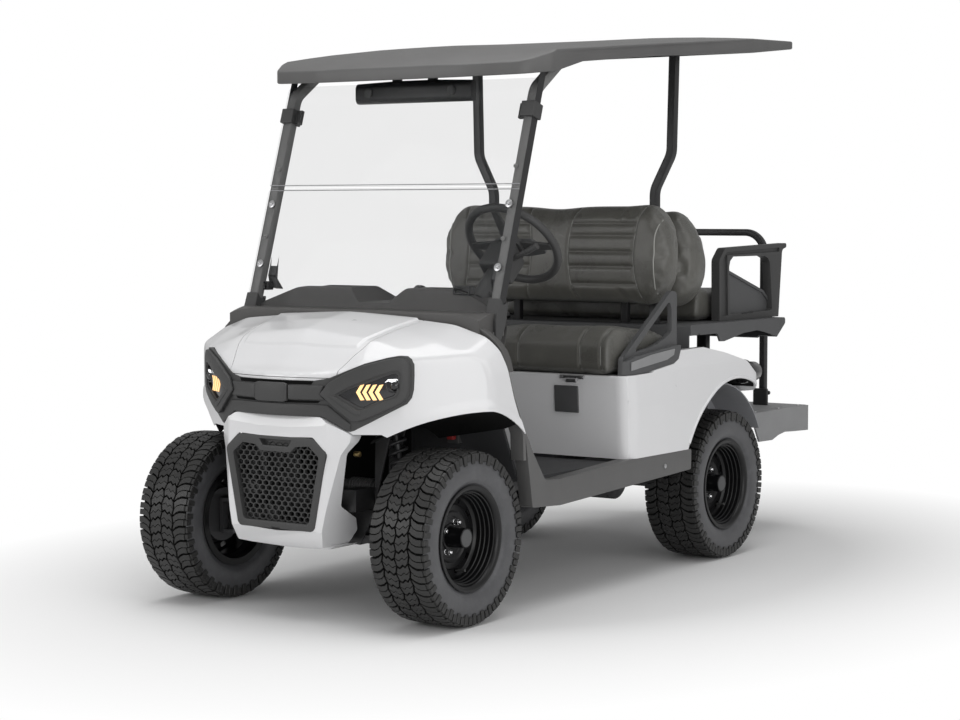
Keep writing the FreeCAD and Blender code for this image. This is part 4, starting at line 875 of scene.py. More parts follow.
@dataclass
class Rim:
    """Deep black steel wheel with a stepped barrel, slots, nuts and a long cap."""

    bead: float = 0.1524
    lip: float = 0.1697
    half: float = 0.089
    slots: int = 10
    nuts: int = 4
    nut_circle: float = 0.0508

    def barrel(self) -> Piece:
        """Barrel and pressed disc, spun in one.

        Returns:
            The wheel, without its slots.
        """
        h, b, e = self.half, self.bead, self.lip
        profile = [
            (-h - 0.005, e - 0.001), (-h - 0.003, e), (-h, e - 0.001), (-h, b), (-0.062, b),
            (-0.05, 0.139), (0.0, 0.139), (0.014, b), (h, b), (h, e - 0.001), (h + 0.002, e),
            (h + 0.005, e - 0.001),
            (h + 0.0055, e - 0.004), (h + 0.0052, e - 0.009), (h + 0.0035, e - 0.014), (h, b - 0.001),
            (0.084, b - 0.004), (0.08, b - 0.005),
            (0.078, b - 0.0085), (0.0655, b - 0.009), (0.0635, b - 0.012), (0.0505, b - 0.0125),
            (0.0485, b - 0.015), (0.036, b - 0.0155), (0.034, b - 0.018), (0.02, b - 0.019),
            (0.015, 0.13), (0.012, 0.126), (0.0125, 0.106), (0.016, 0.101), (0.0165, 0.083),
            (0.0135, 0.079), (0.0115, 0.074), (0.0115, 0.066), (0.01, 0.064), (0.01, 0.0),
            (0.004, 0.0), (0.004, 0.066), (0.0075, 0.077), (0.01, 0.084), (0.01, 0.1),
            (0.006, 0.106), (0.006, 0.127), (0.0, 0.132), (-0.048, 0.133), (-0.06, b - 0.006),
            (-h - 0.004, b - 0.006),
        ]
        return Bench.spun(profile, 96, 28)

    def cut_slots(self, barrel: Piece) -> Piece:
        """Cut the ring of vent slots through the disc.

        Args:
            barrel: the wheel.

        Returns:
            The wheel with its slots.
        """
        tools = []
        for k in range(self.slots):
            tool = Bench.block((-0.01, -0.013, 0.108), (0.03, 0.013, 0.1235), 0.0045, 3)
            tool.data.transform(Matrix.Rotation(math.tau * k / self.slots, 4, "X"))
            tools.append(tool)
        return Bench.combined(barrel, Bench.joined(tools))

    def cap(self) -> Piece:
        """Long hub cap.

        Returns:
            The cap.
        """
        profile = [(0.0105, 0.0), (0.0105, 0.041), (0.013, 0.041), (0.0145, 0.0385), (0.0145, 0.0345),
                   (0.03, 0.0328), (0.0735, 0.0318), (0.0755, 0.0302), (0.0752, 0.0285), (0.0742, 0.028),
                   (0.0742, 0.0)]
        return Bench.spun(profile, 48, 35)

    def cap_face(self) -> Piece:
        """Grey disc in the end of the cap."""
        profile = [(0.0738, 0.0), (0.0738, 0.0278), (0.075, 0.0274), (0.0755, 0.0255), (0.0757, 0.0)]
        return Bench.spun(profile, 48, 35)

    def nut(self, angle: float) -> Piece:
        """One domed wheel nut with its cone seat.

        Args:
            angle: where it stands on its circle.

        Returns:
            The nut.
        """
        y, z = self.nut_circle * math.cos(angle), self.nut_circle * math.sin(angle)
        seat = Bench.rod((0.0098, y, z), (0.014, y, z), 0.0115, 24, 0.0006, 0.01)
        hexagon = Bench.rod((0.0135, y, z), (0.029, y, z), 0.0098, 6, 0.0007)
        dome = Bench.rod((0.0288, y, z), (0.0345, y, z), 0.0082, 20, 0.0006, 0.0045)
        return Bench.joined([seat, hexagon, dome])

    def valve(self) -> Piece:
        """Tyre valve in the disc."""
        stem = Bench.rod((0.01, 0.0, -0.118), (0.036, 0.0, -0.115), 0.0042, 16, 0.0005)
        cap = Bench.rod((0.034, 0.0, -0.1152), (0.046, 0.0, -0.1138), 0.005, 12, 0.0008)
        return Bench.joined([stem, cap])


@dataclass
class Wheels:
    """The four wheels."""

    ends: tuple = (("front", 0.479, FRONT, 17), ("rear", 0.471, REAR, 40))

    def build(self) -> None:
        """Make one wheel and copy it to its four places, each end turned to its own angle."""
        rim = Rim()
        tyre = Tyre()
        nuts = [rim.nut(math.tau * (k + 0.5) / rim.nuts) for k in range(rim.nuts)]
        pieces = {
            "tyre": (tyre.carcass(), "tyre_rubber"),
            "tread": (tyre.tread(), "tread_rubber"),
            # Painted shade: a near-black band darkens the floors of the tread grooves.
            "tread_groove_shade": (tyre.ground(), "deep_shadow"),
            "rim": (rim.cut_slots(rim.barrel()), "rim_paint"),
            "cap": (rim.cap(), "rim_paint"),
            "cap_face": (rim.cap_face(), "grey_plastic"),
            "nuts": (Bench.joined(nuts), "chrome"),
            "valve": (rim.valve(), "black_plastic"),
        }
        for end, x, y, angle in self.ends:
            for side, sign in SIDES:
                turn = Matrix.Rotation(0 if sign > 0 else math.pi, 4, "Z")
                tilt = Matrix.Rotation(math.radians(angle), 4, "X")
                place = Matrix.Translation((sign * x, y, AXLE)) @ turn @ tilt
                for name, (made, finish) in pieces.items():
                    node = f"{name}_{end}_{side}"
                    stands = [node] if name in ("tyre", "rim") else []
                    Bench.dress(Bench.twin(made, place), f"{node}_dressed", finish,
                                f"wheel_{end}_{side}", stands)
        for made, _ in pieces.values():
            bpy.data.objects.remove(made)


# Seats


@dataclass
class Pad:
    """One upholstered pad grown from its CAD solid."""

    node: str
    body: str
    voxel: float = 0.0088
    shrink: float = 0.007
    rounding: int = 12
    travel: float = 0.014
    pressure: float = 4.0
    frames: int = 20
    fill: float = 0.8
    grow: float = 0.0

    def core(self) -> Piece:
        """Rounded even mesh inside the CAD solid."""
        made = Bench.copied(self.node)
        Bench.modified(made, "DISPLACE", strength=-self.shrink, mid_level=0.0)
        return Bench.rounded(made, self.voxel, self.rounding)

    def inflate(self, made: Piece) -> Piece:
        """Swell the pad like stuffed cloth, with a limit on how far a point moves.

        Args:
            made: the pad.

        Returns:
            The swollen pad.
        """
        start = Bench.points(made)
        Bench.alone(made)
        cloth = made.modifiers.new("cloth", "CLOTH")
        cloth.settings.use_pressure = True
        cloth.settings.uniform_pressure_force = self.pressure
        cloth.settings.quality = 4
        cloth.settings.mass = 0.4
        cloth.settings.tension_stiffness = 20
        cloth.settings.effector_weights.gravity = 0
        cloth.point_cache.frame_start = 1
        cloth.point_cache.frame_end = self.frames
        for number in range(1, self.frames + 1):
            bpy.context.scene.frame_set(number)
        move = Bench.points(made.evaluated_get(bpy.context.evaluated_depsgraph_get())) - start
        made.modifiers.remove(cloth)
        bpy.context.scene.frame_set(1)
        size = np.linalg.norm(move, axis=1, keepdims=True)
        move *= np.minimum(1.0, self.travel / np.maximum(size, 1e-9))
        return Bench.set_points(made, start + move)

    def build(self, relief: Callable[[np.ndarray, np.ndarray], np.ndarray]) -> Piece:
        """Make the pad.

        Args:
            relief: depth of the seams and channels at given points and normals.

        Returns:
            The dressed pad.
        """
        made = self.core()
        self.inflate(made)
        Bench.divided(made, 1)
        places = Bench.points(made)
        source = frame["nodes"][self.node]
        solid = np.array([source.matrix_world @ Vector(corner) for corner in source.bound_box])
        low, high = places.min(0), places.max(0)
        start, size = solid.min(0) - self.grow, solid.max(0) - solid.min(0) + 2 * self.grow
        places = start + (places - low) / (high - low) * size
        Bench.set_points(made, places)
        facing = Bench.points(made, "normal")
        Bench.set_points(made, places - facing * relief(places, facing)[:, None])
        Bench.stand(Bench.smooth(made, 180), self.node, "seat_leather", self.body)
        return made


class Seam:
    """Profiles of sewn lines."""

    @staticmethod
    def groove(distance: np.ndarray, depth: float, width: float) -> np.ndarray:
        """Narrow groove with soft shoulders at a distance from a seam line."""
        return depth * np.exp(-np.abs(distance / width) ** 1.3)

    @staticmethod
    def step(value: np.ndarray, edge: float, soft: float) -> np.ndarray:
        """Smooth step from 0 to 1 at an edge."""
        share = np.clip((value - edge) / soft + 0.5, 0, 1)
        return share * share * (3 - 2 * share)


@dataclass
class Seats:
    """Front bench, backrests and rear cushion with their channels and piping."""

    panel_inner: float = 0.082
    panel_outer: float = 0.363
    channels: tuple[float, ...] = (1.033, 1.098, 1.152, 1.212, 1.256)
    roll_depth: float = 0.009
    seam_depth: float = 0.006
    seam_width: float = 0.004
    thin_pipe: float = 0.0011
    end_pipe: float = 0.0026

    def seam(self, distance: np.ndarray) -> np.ndarray:
        """Depth of a sewn line at a distance from it."""
        return Seam.groove(distance, self.seam_depth, self.seam_width)

    def panel_edges(self, z: np.ndarray) -> tuple[np.ndarray, np.ndarray]:
        """Inner and outer edge of the channelled panel at a height."""
        bow = ((z - 1.15) / 0.17) ** 2
        return self.panel_inner + 0.028 * bow, self.panel_outer + 0.03 * bow

    def back_panel(self, front: float) -> Callable[[np.ndarray, np.ndarray], np.ndarray]:
        """Channels of a backrest whose face looks along Y with the given sign.

        Args:
            front: sign of the side that the face looks to.

        Returns:
            The relief as a function.
        """

        def relief(p: np.ndarray, n: np.ndarray) -> np.ndarray:
            """Depth at points with normals.

            Args:
                p: places.
                n: normals.

            Returns:
                Depth at the places.
            """
            x, z = np.abs(p[:, 0]), p[:, 2]
            facing = Seam.step(n[:, 1] * front, 0.35, 0.4)
            inner, outer = self.panel_edges(z)
            inside = Seam.step(x - inner, 0.004, 0.02) * Seam.step(outer - x, 0.004, 0.02)
            near = np.min([np.abs(z - height) for height in self.channels], axis=0)
            channel = Seam.groove(near, self.roll_depth, 0.0065)
            verticals = self.seam(x - inner) + self.seam(x - outer)
            middle = 0.01 * np.exp(-(x / 0.1) ** 2) * Seam.step(z, 1.26, 0.1)
            return facing * (channel * inside + verticals) + middle

        return relief

    def cushion_seams(self, p: np.ndarray, n: np.ndarray) -> np.ndarray:
        """Seams of the front cushion, three on each side, and its shallow seats.

        Args:
            p: places.
            n: normals.

        Returns:
            Depth at the places.
        """
        x = np.abs(p[:, 0])
        up = Seam.step(n[:, 2], 0.15, 0.5) + Seam.step(-n[:, 1], 0.4, 0.4)
        up = np.minimum(up, 1)
        along = self.seam(x - 0.41) + self.seam(x - 0.15) + self.seam(x - 0.497)
        depth = np.exp(-((p[:, 1] - (REAR - 0.58)) / 0.14) ** 2)
        saddle = 0.012 * np.exp(-((x - 0.28) / 0.13) ** 2) * depth
        middle = 0.016 * np.exp(-(x / 0.1) ** 2)
        return up * along + (saddle + middle) * Seam.step(n[:, 2], 0.5, 0.5)

    def rear_cushion_seams(self, p: np.ndarray, n: np.ndarray) -> np.ndarray:
        """Seams and two shallow seats of the rear cushion.

        Args:
            p: places.
            n: normals.

        Returns:
            Depth at the places.
        """
        x = np.abs(p[:, 0])
        up = Seam.step(n[:, 2], 0.15, 0.5)
        along = self.seam(x - 0.385) + Seam.groove(x - 0.03, 0.004, 0.004)
        across = self.seam(p[:, 1] - (REAR + 0.3))
        depth = np.exp(-((p[:, 1] - (REAR + 0.2)) / 0.12) ** 2)
        saddle = 0.01 * np.exp(-((x - 0.21) / 0.11) ** 2) * depth
        return up * (along + across) + saddle * Seam.step(n[:, 2], 0.5, 0.5)

    def piping(self, pad: Piece, rays: Sequence[tuple[Point, Point]], name: str, body: str,
               radius: float) -> Piece:
        """A cord sewn onto a pad where rays meet it.

        Args:
            pad: the pad.
            rays: start and direction of each ray.
            name: name of the cord.
            body: body that it moves with.
            radius: its radius.

        Returns:
            The dressed cord.
        """
        path = []
        for start, way in rays:
            hit, place, _, _ = pad.ray_cast(Vector(start), Vector(way).normalized())
            if hit:
                path.append(tuple(place))
        return Bench.dress(Bench.tube(path, radius), name, "piping", body)

    def back_piping(self, pad: Piece, label: str, y: float, way: int) -> None:
        """Cords beside the panels and round the ends of a backrest, met by rays from a plane.

        Args:
            pad: the backrest.
            label: its word in the names.
            y: plane that the rays start from.
            way: their direction along Y.
        """
        for side, sign in SIDES:
            for pick, part in enumerate(("inner", "outer")):
                rays = [((sign * self.panel_edges(z)[pick], y, z), (0, way, 0))
                        for z in np.linspace(0.985, 1.315, 24)]
                self.piping(pad, rays, f"back_{label}_{part}_piping_{side}", "chassis", self.thin_pipe)
            rays = [((sign * (0.452 + 0.028 * max(0.0, (z - 1.19) / 0.13) ** 2), y, z), (0, way, 0))
                    for z in np.linspace(1.0, 1.3, 20)]
            self.piping(pad, rays, f"back_{label}_end_piping_{side}", "chassis", self.end_pipe)

    def build(self) -> None:
        """Make all four pads and their piping."""
        front_back = Pad("seat_back_front", "chassis", grow=0.006).build(self.back_panel(-1.0))
        rear_back = Pad("seat_back_rear", "chassis", grow=0.004).build(self.back_panel(1.0))
        front = Pad("seat_cushion_front", "front_seat_lid", 0.0103, rounding=10)
        rear = Pad("seat_cushion_rear", "rear_seat_lid", 0.0105, rounding=9)
        front, rear = front.build(self.cushion_seams), rear.build(self.rear_cushion_seams)
        self.back_piping(front_back, "front", REAR - 0.6, 1)
        self.back_piping(rear_back, "rear", REAR + 0.2, -1)
        for side, sign in SIDES:
            for part, x in (("outer", 0.497), ("seat", 0.41), ("middle", 0.15)):
                rays = [((sign * x, REAR - 0.95, z), (0, 1, 0)) for z in np.linspace(0.75, 0.84, 8)]
                rays += [((sign * x, y, 1.2), (0, 0, -1))
                         for y in np.linspace(REAR - 0.775, REAR - 0.42, 18)]
                self.piping(front, rays, f"cushion_{part}_piping_{side}", "front_seat_lid", self.thin_pipe)
            rays = [((sign * 0.385, y, 1.3), (0, 0, -1)) for y in np.linspace(REAR + 0.01, REAR + 0.36, 16)]
            self.piping(rear, rays, f"rear_cushion_piping_{side}", "rear_seat_lid", self.thin_pipe)


# Front


@dataclass
class Nose:
    """The bowed front that the mask and lamps follow."""

    reach: float = 0.275
    curvature: float = 0.98
    strip: float = 0.03
    lamp: tuple = ((0.205, 0.729), (0.262, 0.764), (0.33, 0.8), (0.385, 0.829), (0.4, 0.832),
                   (0.41, 0.82), (0.408, 0.768), (0.405, 0.722), (0.395, 0.712), (0.34, 0.69),
                   (0.292, 0.671), (0.278, 0.674))
    mask: tuple = ((0.0, 0.7717), (0.15, 0.7717), (0.196, 0.78), (0.3, 0.8275), (0.36, 0.846),
                   (0.386, 0.8515), (0.404, 0.85), (0.417, 0.841), (0.4245, 0.824), (0.425, 0.79),
                   (0.4235, 0.745), (0.4185, 0.72), (0.407, 0.701), (0.388, 0.689), (0.318, 0.6455),
                   (0.268, 0.6165), (0.258, 0.6135), (0.246, 0.617), (0.18, 0.656), (0.168, 0.6585),
                   (0.0, 0.6585))
    bezel: tuple = ((0.176, 0.731), (0.205, 0.768), (0.25, 0.796), (0.3, 0.8215), (0.365, 0.8415),
                    (0.39, 0.8455), (0.406, 0.843), (0.416, 0.833), (0.4205, 0.815), (0.4205, 0.775),
                    (0.419, 0.74), (0.414, 0.72), (0.402, 0.703), (0.38, 0.69), (0.33, 0.664),
                    (0.3, 0.65), (0.284, 0.645), (0.27, 0.647))
    opening: tuple = ((0.222, 0.728), (0.262, 0.752), (0.33, 0.783), (0.378, 0.802), (0.392, 0.803),
                      (0.398, 0.794), (0.397, 0.765), (0.395, 0.738), (0.387, 0.724), (0.335, 0.701),
                      (0.298, 0.684), (0.284, 0.686))

    def wrapped(self, made: Piece) -> Piece:
        """Cut a flat front piece into strips and bow it along the nose.

        Args:
            made: the flat piece.

        Returns:
            The bowed piece.
        """
        across = Bench.points(made)[:, 0] / self.strip
        with Bench.editing(made):
            for place in np.arange(math.ceil(across.min()), math.ceil(across.max())):
                bpy.ops.mesh.select_all(action="SELECT")
                bpy.ops.mesh.bisect(plane_co=(place * self.strip, 0, 0), plane_no=(1, 0, 0))
        places = Bench.points(made)
        places[:, 1] += FRONT - self.reach + self.curvature * places[:, 0] ** 2
        return Bench.smooth(Bench.set_points(made, places), 25)

    def plate(self, points: Outline, y0: float, y1: float, edge: float = 0.0, hole: Outline = (),
              middle: bool = False) -> Piece:
        """A bowed plate.

        Args:
            points: right half of its front outline.
            y0: front face, measured from the nose.
            y1: rear face.
            edge: width of its rounded edges.
            hole: outline cut out of it.
            middle: whether it crosses the middle in one piece.

        Returns:
            The plate, on both sides of the vehicle.
        """
        made = Bench.front_prism(Bench.both(points) if middle else list(points), y0, y1)
        if hole:
            Bench.combined(made, Bench.front_prism(hole, y0 - 0.05, y1 + 0.05))
        if edge:
            Bench.bevel(made, edge, 3)
        made = self.wrapped(made)
        return made if middle else Bench.mirrored(made)

    def inset(self, points: Outline, distance: float) -> list:
        """An outline drawn towards its middle.

        Args:
            points: the outline.
            distance: how far each corner moves.

        Returns:
            The smaller outline.
        """
        middle = np.mean(points, axis=0)
        reach = np.array(points) - middle
        size = np.linalg.norm(reach, axis=1, keepdims=True)
        return [tuple(p) for p in middle + reach * (1 - distance / size)]


@dataclass
class Face(Nose):
    """Dark mask between the lamps, and the lamps."""

    chevrons: int = 4
    chevron_start: float = 0.279
    chevron_pitch: float = 0.0168
    chevron_wide: float = 0.01
    chevron_lean: float = 0.012
    chevron_heights: tuple = (0.713, 0.738, 0.763)
    sill: tuple = ((0.204, 0.7265), (0.22, 0.7275), (0.283, 0.683), (0.2985, 0.6805), (0.296, 0.666),
                   (0.28, 0.669))
    bar: tuple = ((0.0665, 0.7565), (0.186, 0.7575), (0.176, 0.731), (0.19, 0.7125), (0.0665, 0.712))
    block: tuple = ((0.05, 0.764), (0.064, 0.76), (0.064, 0.707), (0.05, 0.703))
    wedge: tuple = ((0.15, 0.6985), (0.196, 0.6965), (0.262, 0.64), (0.262, 0.62), (0.25, 0.619),
                    (0.178, 0.661), (0.15, 0.662))
    high_slot: tuple = ((0.15, 0.7705), (0.143, 0.76), (0.0, 0.759), (0.0, 0.7705))
    low_slot: tuple = ((0.172, 0.7095), (0.164, 0.702), (0.0, 0.7005), (0.0, 0.7085))
    day_lamp: tuple = ((0.357, 0.769), (0.366, 0.779), (0.386, 0.78), (0.396, 0.771), (0.386, 0.7735),
                       (0.376, 0.769), (0.366, 0.7735))
    eye: tuple = (0.376, 0.759)

    def chevron(self, start: float) -> list:
        """Outline of one arrow that points to the middle.

        Args:
            start: where its tip lies.

        Returns:
            The outline.
        """
        low, middle, high = self.chevron_heights
        tip, end = start + self.chevron_lean, start + self.chevron_wide
        far = tip + self.chevron_wide
        return [(start, middle), (tip, low), (far, low + 0.001), (end, middle), (far, high),
                (tip, high - 0.002)]

    def mask_plates(self) -> None:
        """The mask with its bezels, bars and slots."""
        plates = [
            self.plate(self.mask[1:-1], -0.004, 0.012, 0.002, middle=True),
            self.plate(self.bezel, -0.021, -0.002, 0.009, hole=self.opening),
            self.plate(self.sill, -0.0235, -0.015, 0.003),
            self.plate(self.bar, -0.014, -0.003, 0.004),
            self.plate(self.block, -0.019, -0.003, 0.004, middle=True),
            self.plate(self.wedge, -0.01, -0.003, 0.004, middle=True),
        ]
        Bench.stand(Bench.joined(plates), "front_mask", "black_plastic")
        # Painted shade: near-black strips stand for the shade inside the mask's slots.
        slots = [self.plate(outline, -0.0052, -0.002) for outline in (self.high_slot, self.low_slot)]
        Bench.dress(Bench.joined(slots), "mask_slots", "deep_shadow")

    def projectors(self) -> None:
        """Ball and ring of the round lamps."""
        x, z = self.eye
        y = FRONT - self.reach + self.curvature * x * x
        ring = Bench.ring((x, y - 0.0095, z), (0.55, -1, 0), 0.0205, 0.0022, 40, 8)
        ball = Bench.fresh(bpy.ops.mesh.primitive_uv_sphere_add, segments=32, ring_count=16,
                           radius=0.0185, location=(x, y + 0.002, z))
        eyes = Bench.joined([ring, Bench.smooth(Bench.settle(ball), 180)])
        Bench.dress(Bench.mirrored(eyes), "headlamp_projectors", "gloss_black")

    def build(self) -> None:
        """Make the mask and lamps."""
        self.mask_plates()
        lens = self.plate(self.inset(self.lamp, 0.0005), -0.007, 0.01, 0.002)
        Bench.stand(lens, "headlamps", "lamp_lens")
        step = self.plate(self.inset(self.opening, -0.002), -0.015, -0.0065, 0.0016,
                          hole=self.inset(self.opening, 0.008))
        Bench.dress(step, "headlamp_reflectors", "black_plastic")
        starts = [self.chevron_start + k * self.chevron_pitch for k in range(self.chevrons)]
        arrows = [self.plate(self.chevron(start), -0.009, -0.0066, 0.0006) for start in starts]
        Bench.dress(Bench.joined(arrows), "turn_lamp_arrows", "amber_glow")
        self.projectors()
        Bench.dress(self.plate(self.day_lamp, -0.0135, -0.009, 0.0006), "day_lamps", "white_glow")


@dataclass
class Grille:
    """Framed honeycomb in the bumper."""

    face: float = FRONT - 0.262
    pitch: float = 0.0262
    rise: float = 0.0154
    web: float = 0.0031
    low: float = 0.306
    high: float = 0.572
    outer: tuple = ((0.144, 0.5915), (0.1555, 0.589), (0.1985, 0.551), (0.2025, 0.542),
                    (0.202, 0.534), (0.1575, 0.308), (0.15, 0.2985), (0.14, 0.2955))
    inner: tuple = ((0.06, 0.541), (0.082, 0.56), (0.135, 0.5645), (0.172, 0.534),
                    (0.1745, 0.526), (0.135, 0.326), (0.125, 0.318))
    handle: tuple = ((-0.066, 0.58), (0.066, 0.58), (0.052, 0.56), (-0.052, 0.56))

    def half_width(self, z: float) -> float:
        """Distance from the middle to the frame's side at a height."""
        return float(np.interp(z, (0.298, 0.545, 0.594), (0.15, 0.196, 0.15)))

    def cells(self) -> Piece:
        """Flattened hexagonal cells in staggered rows.

        Returns:
            The honeycomb.
        """
        long, short = self.pitch / math.sqrt(3), self.rise * 2 / 3

        def ring(scale: float) -> list:
            """Flattened hexagon.

            Args:
                scale: its share of a full cell.

            Returns:
                Its corners.
            """
            return [(scale * long * math.sin(k * math.pi / 3), scale * short * math.cos(k * math.pi / 3))
                    for k in range(6)]

        rows = []
        for row in range(int((self.high - self.low) / self.rise)):
            z = self.low + (row + 0.5) * self.rise
            reach = self.half_width(z) - 0.01
            shift = self.pitch / 2 * (row % 2)
            first = math.ceil((-reach - shift) / self.pitch)
            last = math.floor((reach - shift) / self.pitch)
            cell = Bench.front_prism(ring(1.01), self.face + 0.012, self.face + 0.026)
            hole = ring(1 - self.web / long)
            Bench.combined(cell, Bench.front_prism(hole, self.face - 0.02, self.face + 0.06))
            Bench.bevel(cell, 0.0006, 1, 40)
            cell.data.transform(Matrix.Translation((first * self.pitch + shift, 0, z)))
            rows.append(Bench.rowed(cell, last - first + 1, (self.pitch, 0, 0)))
        return Bench.smooth(Bench.joined(rows), 25)

    def frame(self) -> Piece:
        """Frame with its handle slot and notch.

        Returns:
            The frame.
        """
        made = Bench.front_prism(Bench.both(self.outer), self.face - 0.004, self.face + 0.028)
        Bench.combined(made, Bench.front_prism(Bench.both(self.inner), self.face - 0.05, self.face + 0.05))
        Bench.combined(made, Bench.front_prism(self.handle, self.face - 0.05, self.face + 0.016))
        notch = Bench.block((-0.018, self.face - 0.03, 0.28), (0.018, self.face + 0.006, 0.3005), 0.002)
        Bench.combined(made, notch)
        return Bench.smooth(Bench.bevel(made, 0.0045, 3, 35), 40)

    def build(self) -> None:
        """Make the grille."""
        Bench.stand(Bench.joined([self.frame(), self.cells()]), "grille", "black_plastic")


@dataclass
class FrontBody:
    """Bonnet and wings as one smoothly rounded moulding, cut along its seams, and the bumper."""

    voxel: float = 0.009
    rounding: int = 12
    skin: float = 0.0035
    thinning: float = 0.46
    gap: float = 0.0024
    lip: float = 0.0055
    half: float = 0.6
    rise: float = 0.0055
    across: tuple = (0.0, 0.47, 0.72, 0.91, 0.985, 1.0)
    crown: tuple = (
        (-0.3, 0.79, 0.78, 0.76, 0.73, 0.685, 0.64),
        (-0.283, 0.79, 0.78, 0.76, 0.73, 0.685, 0.64),
        (-0.216, 0.815, 0.8, 0.782, 0.752, 0.706, 0.66),
        (-0.165, 0.868, 0.848, 0.805, 0.76, 0.72, 0.68),
        (-0.11, 0.918, 0.89, 0.838, 0.79, 0.745, 0.7),
        (0.0, 0.947, 0.926, 0.894, 0.85, 0.795, 0.74),
        (0.119, 0.966, 0.955, 0.944, 0.903, 0.852, 0.8),
        (0.3, 0.985, 0.972, 0.96, 0.925, 0.872, 0.82),
        (0.42, 0.985, 0.972, 0.96, 0.925, 0.872, 0.82),
    )
    rear_edge: tuple = ((0.119, 1.2), (0.119, 0.962), (0.1095, 0.952), (0.1095, 0.94), (0.146, 0.846),
                        (0.166, 0.792), (0.196, 0.712), (0.212, 0.678), (0.256, 0.594), (0.264, 0.56),
                        (0.275, 0.2), (0.7, 0.2), (0.7, 1.2))
    low_edge: tuple = ((-0.4, 0.1), (-0.4, 0.6043), (-0.16, 0.6043), (-0.11, 0.56), (-0.06, 0.5),
                       (0.6, 0.5), (0.6, 0.1))
    seam: tuple = ((-0.34, 0.217), (-0.216, 0.217), (-0.141, 0.253), (0.119, 0.312), (0.19, 0.328))
    bumper: tuple = ((0.0, 0.6605), (0.174, 0.6605), (0.249, 0.6165), (0.264, 0.605), (0.261, 0.578),
                     (0.239, 0.539), (0.174, 0.231), (0.0, 0.225))

    def height(self, x: np.ndarray, y: np.ndarray) -> np.ndarray:
        """Height of the crown at places in plan.

        Args:
            x: places across.
            y: places along.

        Returns:
            Heights at the places.
        """
        stations = [FRONT + row[0] for row in self.crown]
        share = np.abs(x) / self.half
        rows = np.array([np.interp(share, self.across, row[1:]) for row in self.crown])
        out = np.empty_like(x)
        for k, (value, column) in enumerate(zip(y, rows.T)):
            out[k] = np.interp(value, stations, column)
        return out

    def solid(self) -> Piece:
        """Rounded solid under the crown and behind the nose.

        Returns:
            The solid, ready to be cut.
        """
        made = Bench.fresh(bpy.ops.mesh.primitive_grid_add, x_subdivisions=80, y_subdivisions=48, size=1)
        flat = Bench.points(made)
        places = np.stack([flat[:, 0] * 2 * self.half, FRONT + 0.06 + flat[:, 1] * 0.72, flat[:, 2]], 1)
        places[:, 2] = self.height(places[:, 0], places[:, 1])
        places = Bench.points(Bench.extruded(Bench.set_points(made, places), (0, 0, -2.0)))
        places[places[:, 2] < 0, 2] = 0.3
        Bench.set_points(made, places)
        nose = Nose()
        across = np.linspace(-0.66, 0.66, 45)
        plan = [(x, FRONT - nose.reach + nose.curvature * x * x) for x in across]
        plan += [(0.66, FRONT + 0.6), (-0.66, FRONT + 0.6)]
        Bench.combined(made, Bench.plan_prism(plan, 0.1, 1.3), "INTERSECT")
        return self.marked(Bench.rounded(made, self.voxel, self.rounding))

    def marked(self, made: Piece) -> Piece:
        """Give a solid the two places for materials that tell its skin from its cuts."""
        for _ in range(2):
            made.data.materials.append(Paintbox.take("pearl_white"))
        return made

    def cut(self, made: Piece, tool: Piece, operation: str = "DIFFERENCE") -> Piece:
        """Cut the solid; the faces that the tool leaves are marked."""
        for polygon in self.marked(tool).data.polygons:
            polygon.material_index = 1
        return Bench.combined(made, tool, operation)

    def peeled(self, made: Piece) -> Piece:
        """Keep the outer skin only.

        Args:
            made: the cut solid.

        Returns:
            The open skin.
        """
        with Bench.editing(made):
            bpy.ops.mesh.select_all(action="DESELECT")
            made.active_material_index = 1
            bpy.ops.object.material_slot_select()
            bpy.ops.mesh.delete(type="FACE")
            bpy.ops.mesh.select_all(action="SELECT")
            bpy.ops.mesh.remove_doubles(threshold=0.0001)
        return made

    def panel(self, made: Piece) -> Piece:
        """Raise the bonnet's middle panel and crease its front.

        Args:
            made: the bonnet's skin.

        Returns:
            The shaped skin.
        """
        places = Bench.points(made)
        x, y = np.abs(places[:, 0]), places[:, 1] - FRONT
        side = np.interp(y, [row[0] for row in self.seam], [row[1] for row in self.seam]) - 0.02 - x
        ahead = y + 0.158 - 0.3 * x * x
        places[:, 2] += self.rise * Seam.step(np.minimum(side, ahead), 0.003, 0.0075)
        return Bench.set_points(made, places)

    def finished(self, made: Piece, node: str) -> None:
        """Give a skin its thickness and dress it."""
        Bench.modified(made, "SOLIDIFY", thickness=self.skin, offset=-1.0, use_even_offset=False)
        Bench.stand(Bench.smooth(made, 40), node, "pearl_white")

    def middle(self, extra: float, low: float) -> Piece:
        """Upright tool inside the bonnet's seams, widened by a gap, from a height upwards."""
        outline = Bench.both([(x + extra, y) for y, x in self.seam])
        return Bench.plan_prism([(x, FRONT + y) for x, y in outline], low, 1.2)

    def hood(self, solid: Piece) -> None:
        """Bonnet: the part of the solid inside the seams.

        Args:
            solid: the shared solid, which stays whole.
        """
        hood = self.peeled(self.cut(Bench.twin(solid), self.middle(0.0, 0.781), "INTERSECT"))
        Bench.divided(hood, 1)
        Bench.divided(hood, 1, simple=True)
        Bench.modified(self.panel(hood), "DECIMATE", ratio=self.thinning)
        self.finished(hood, "hood")

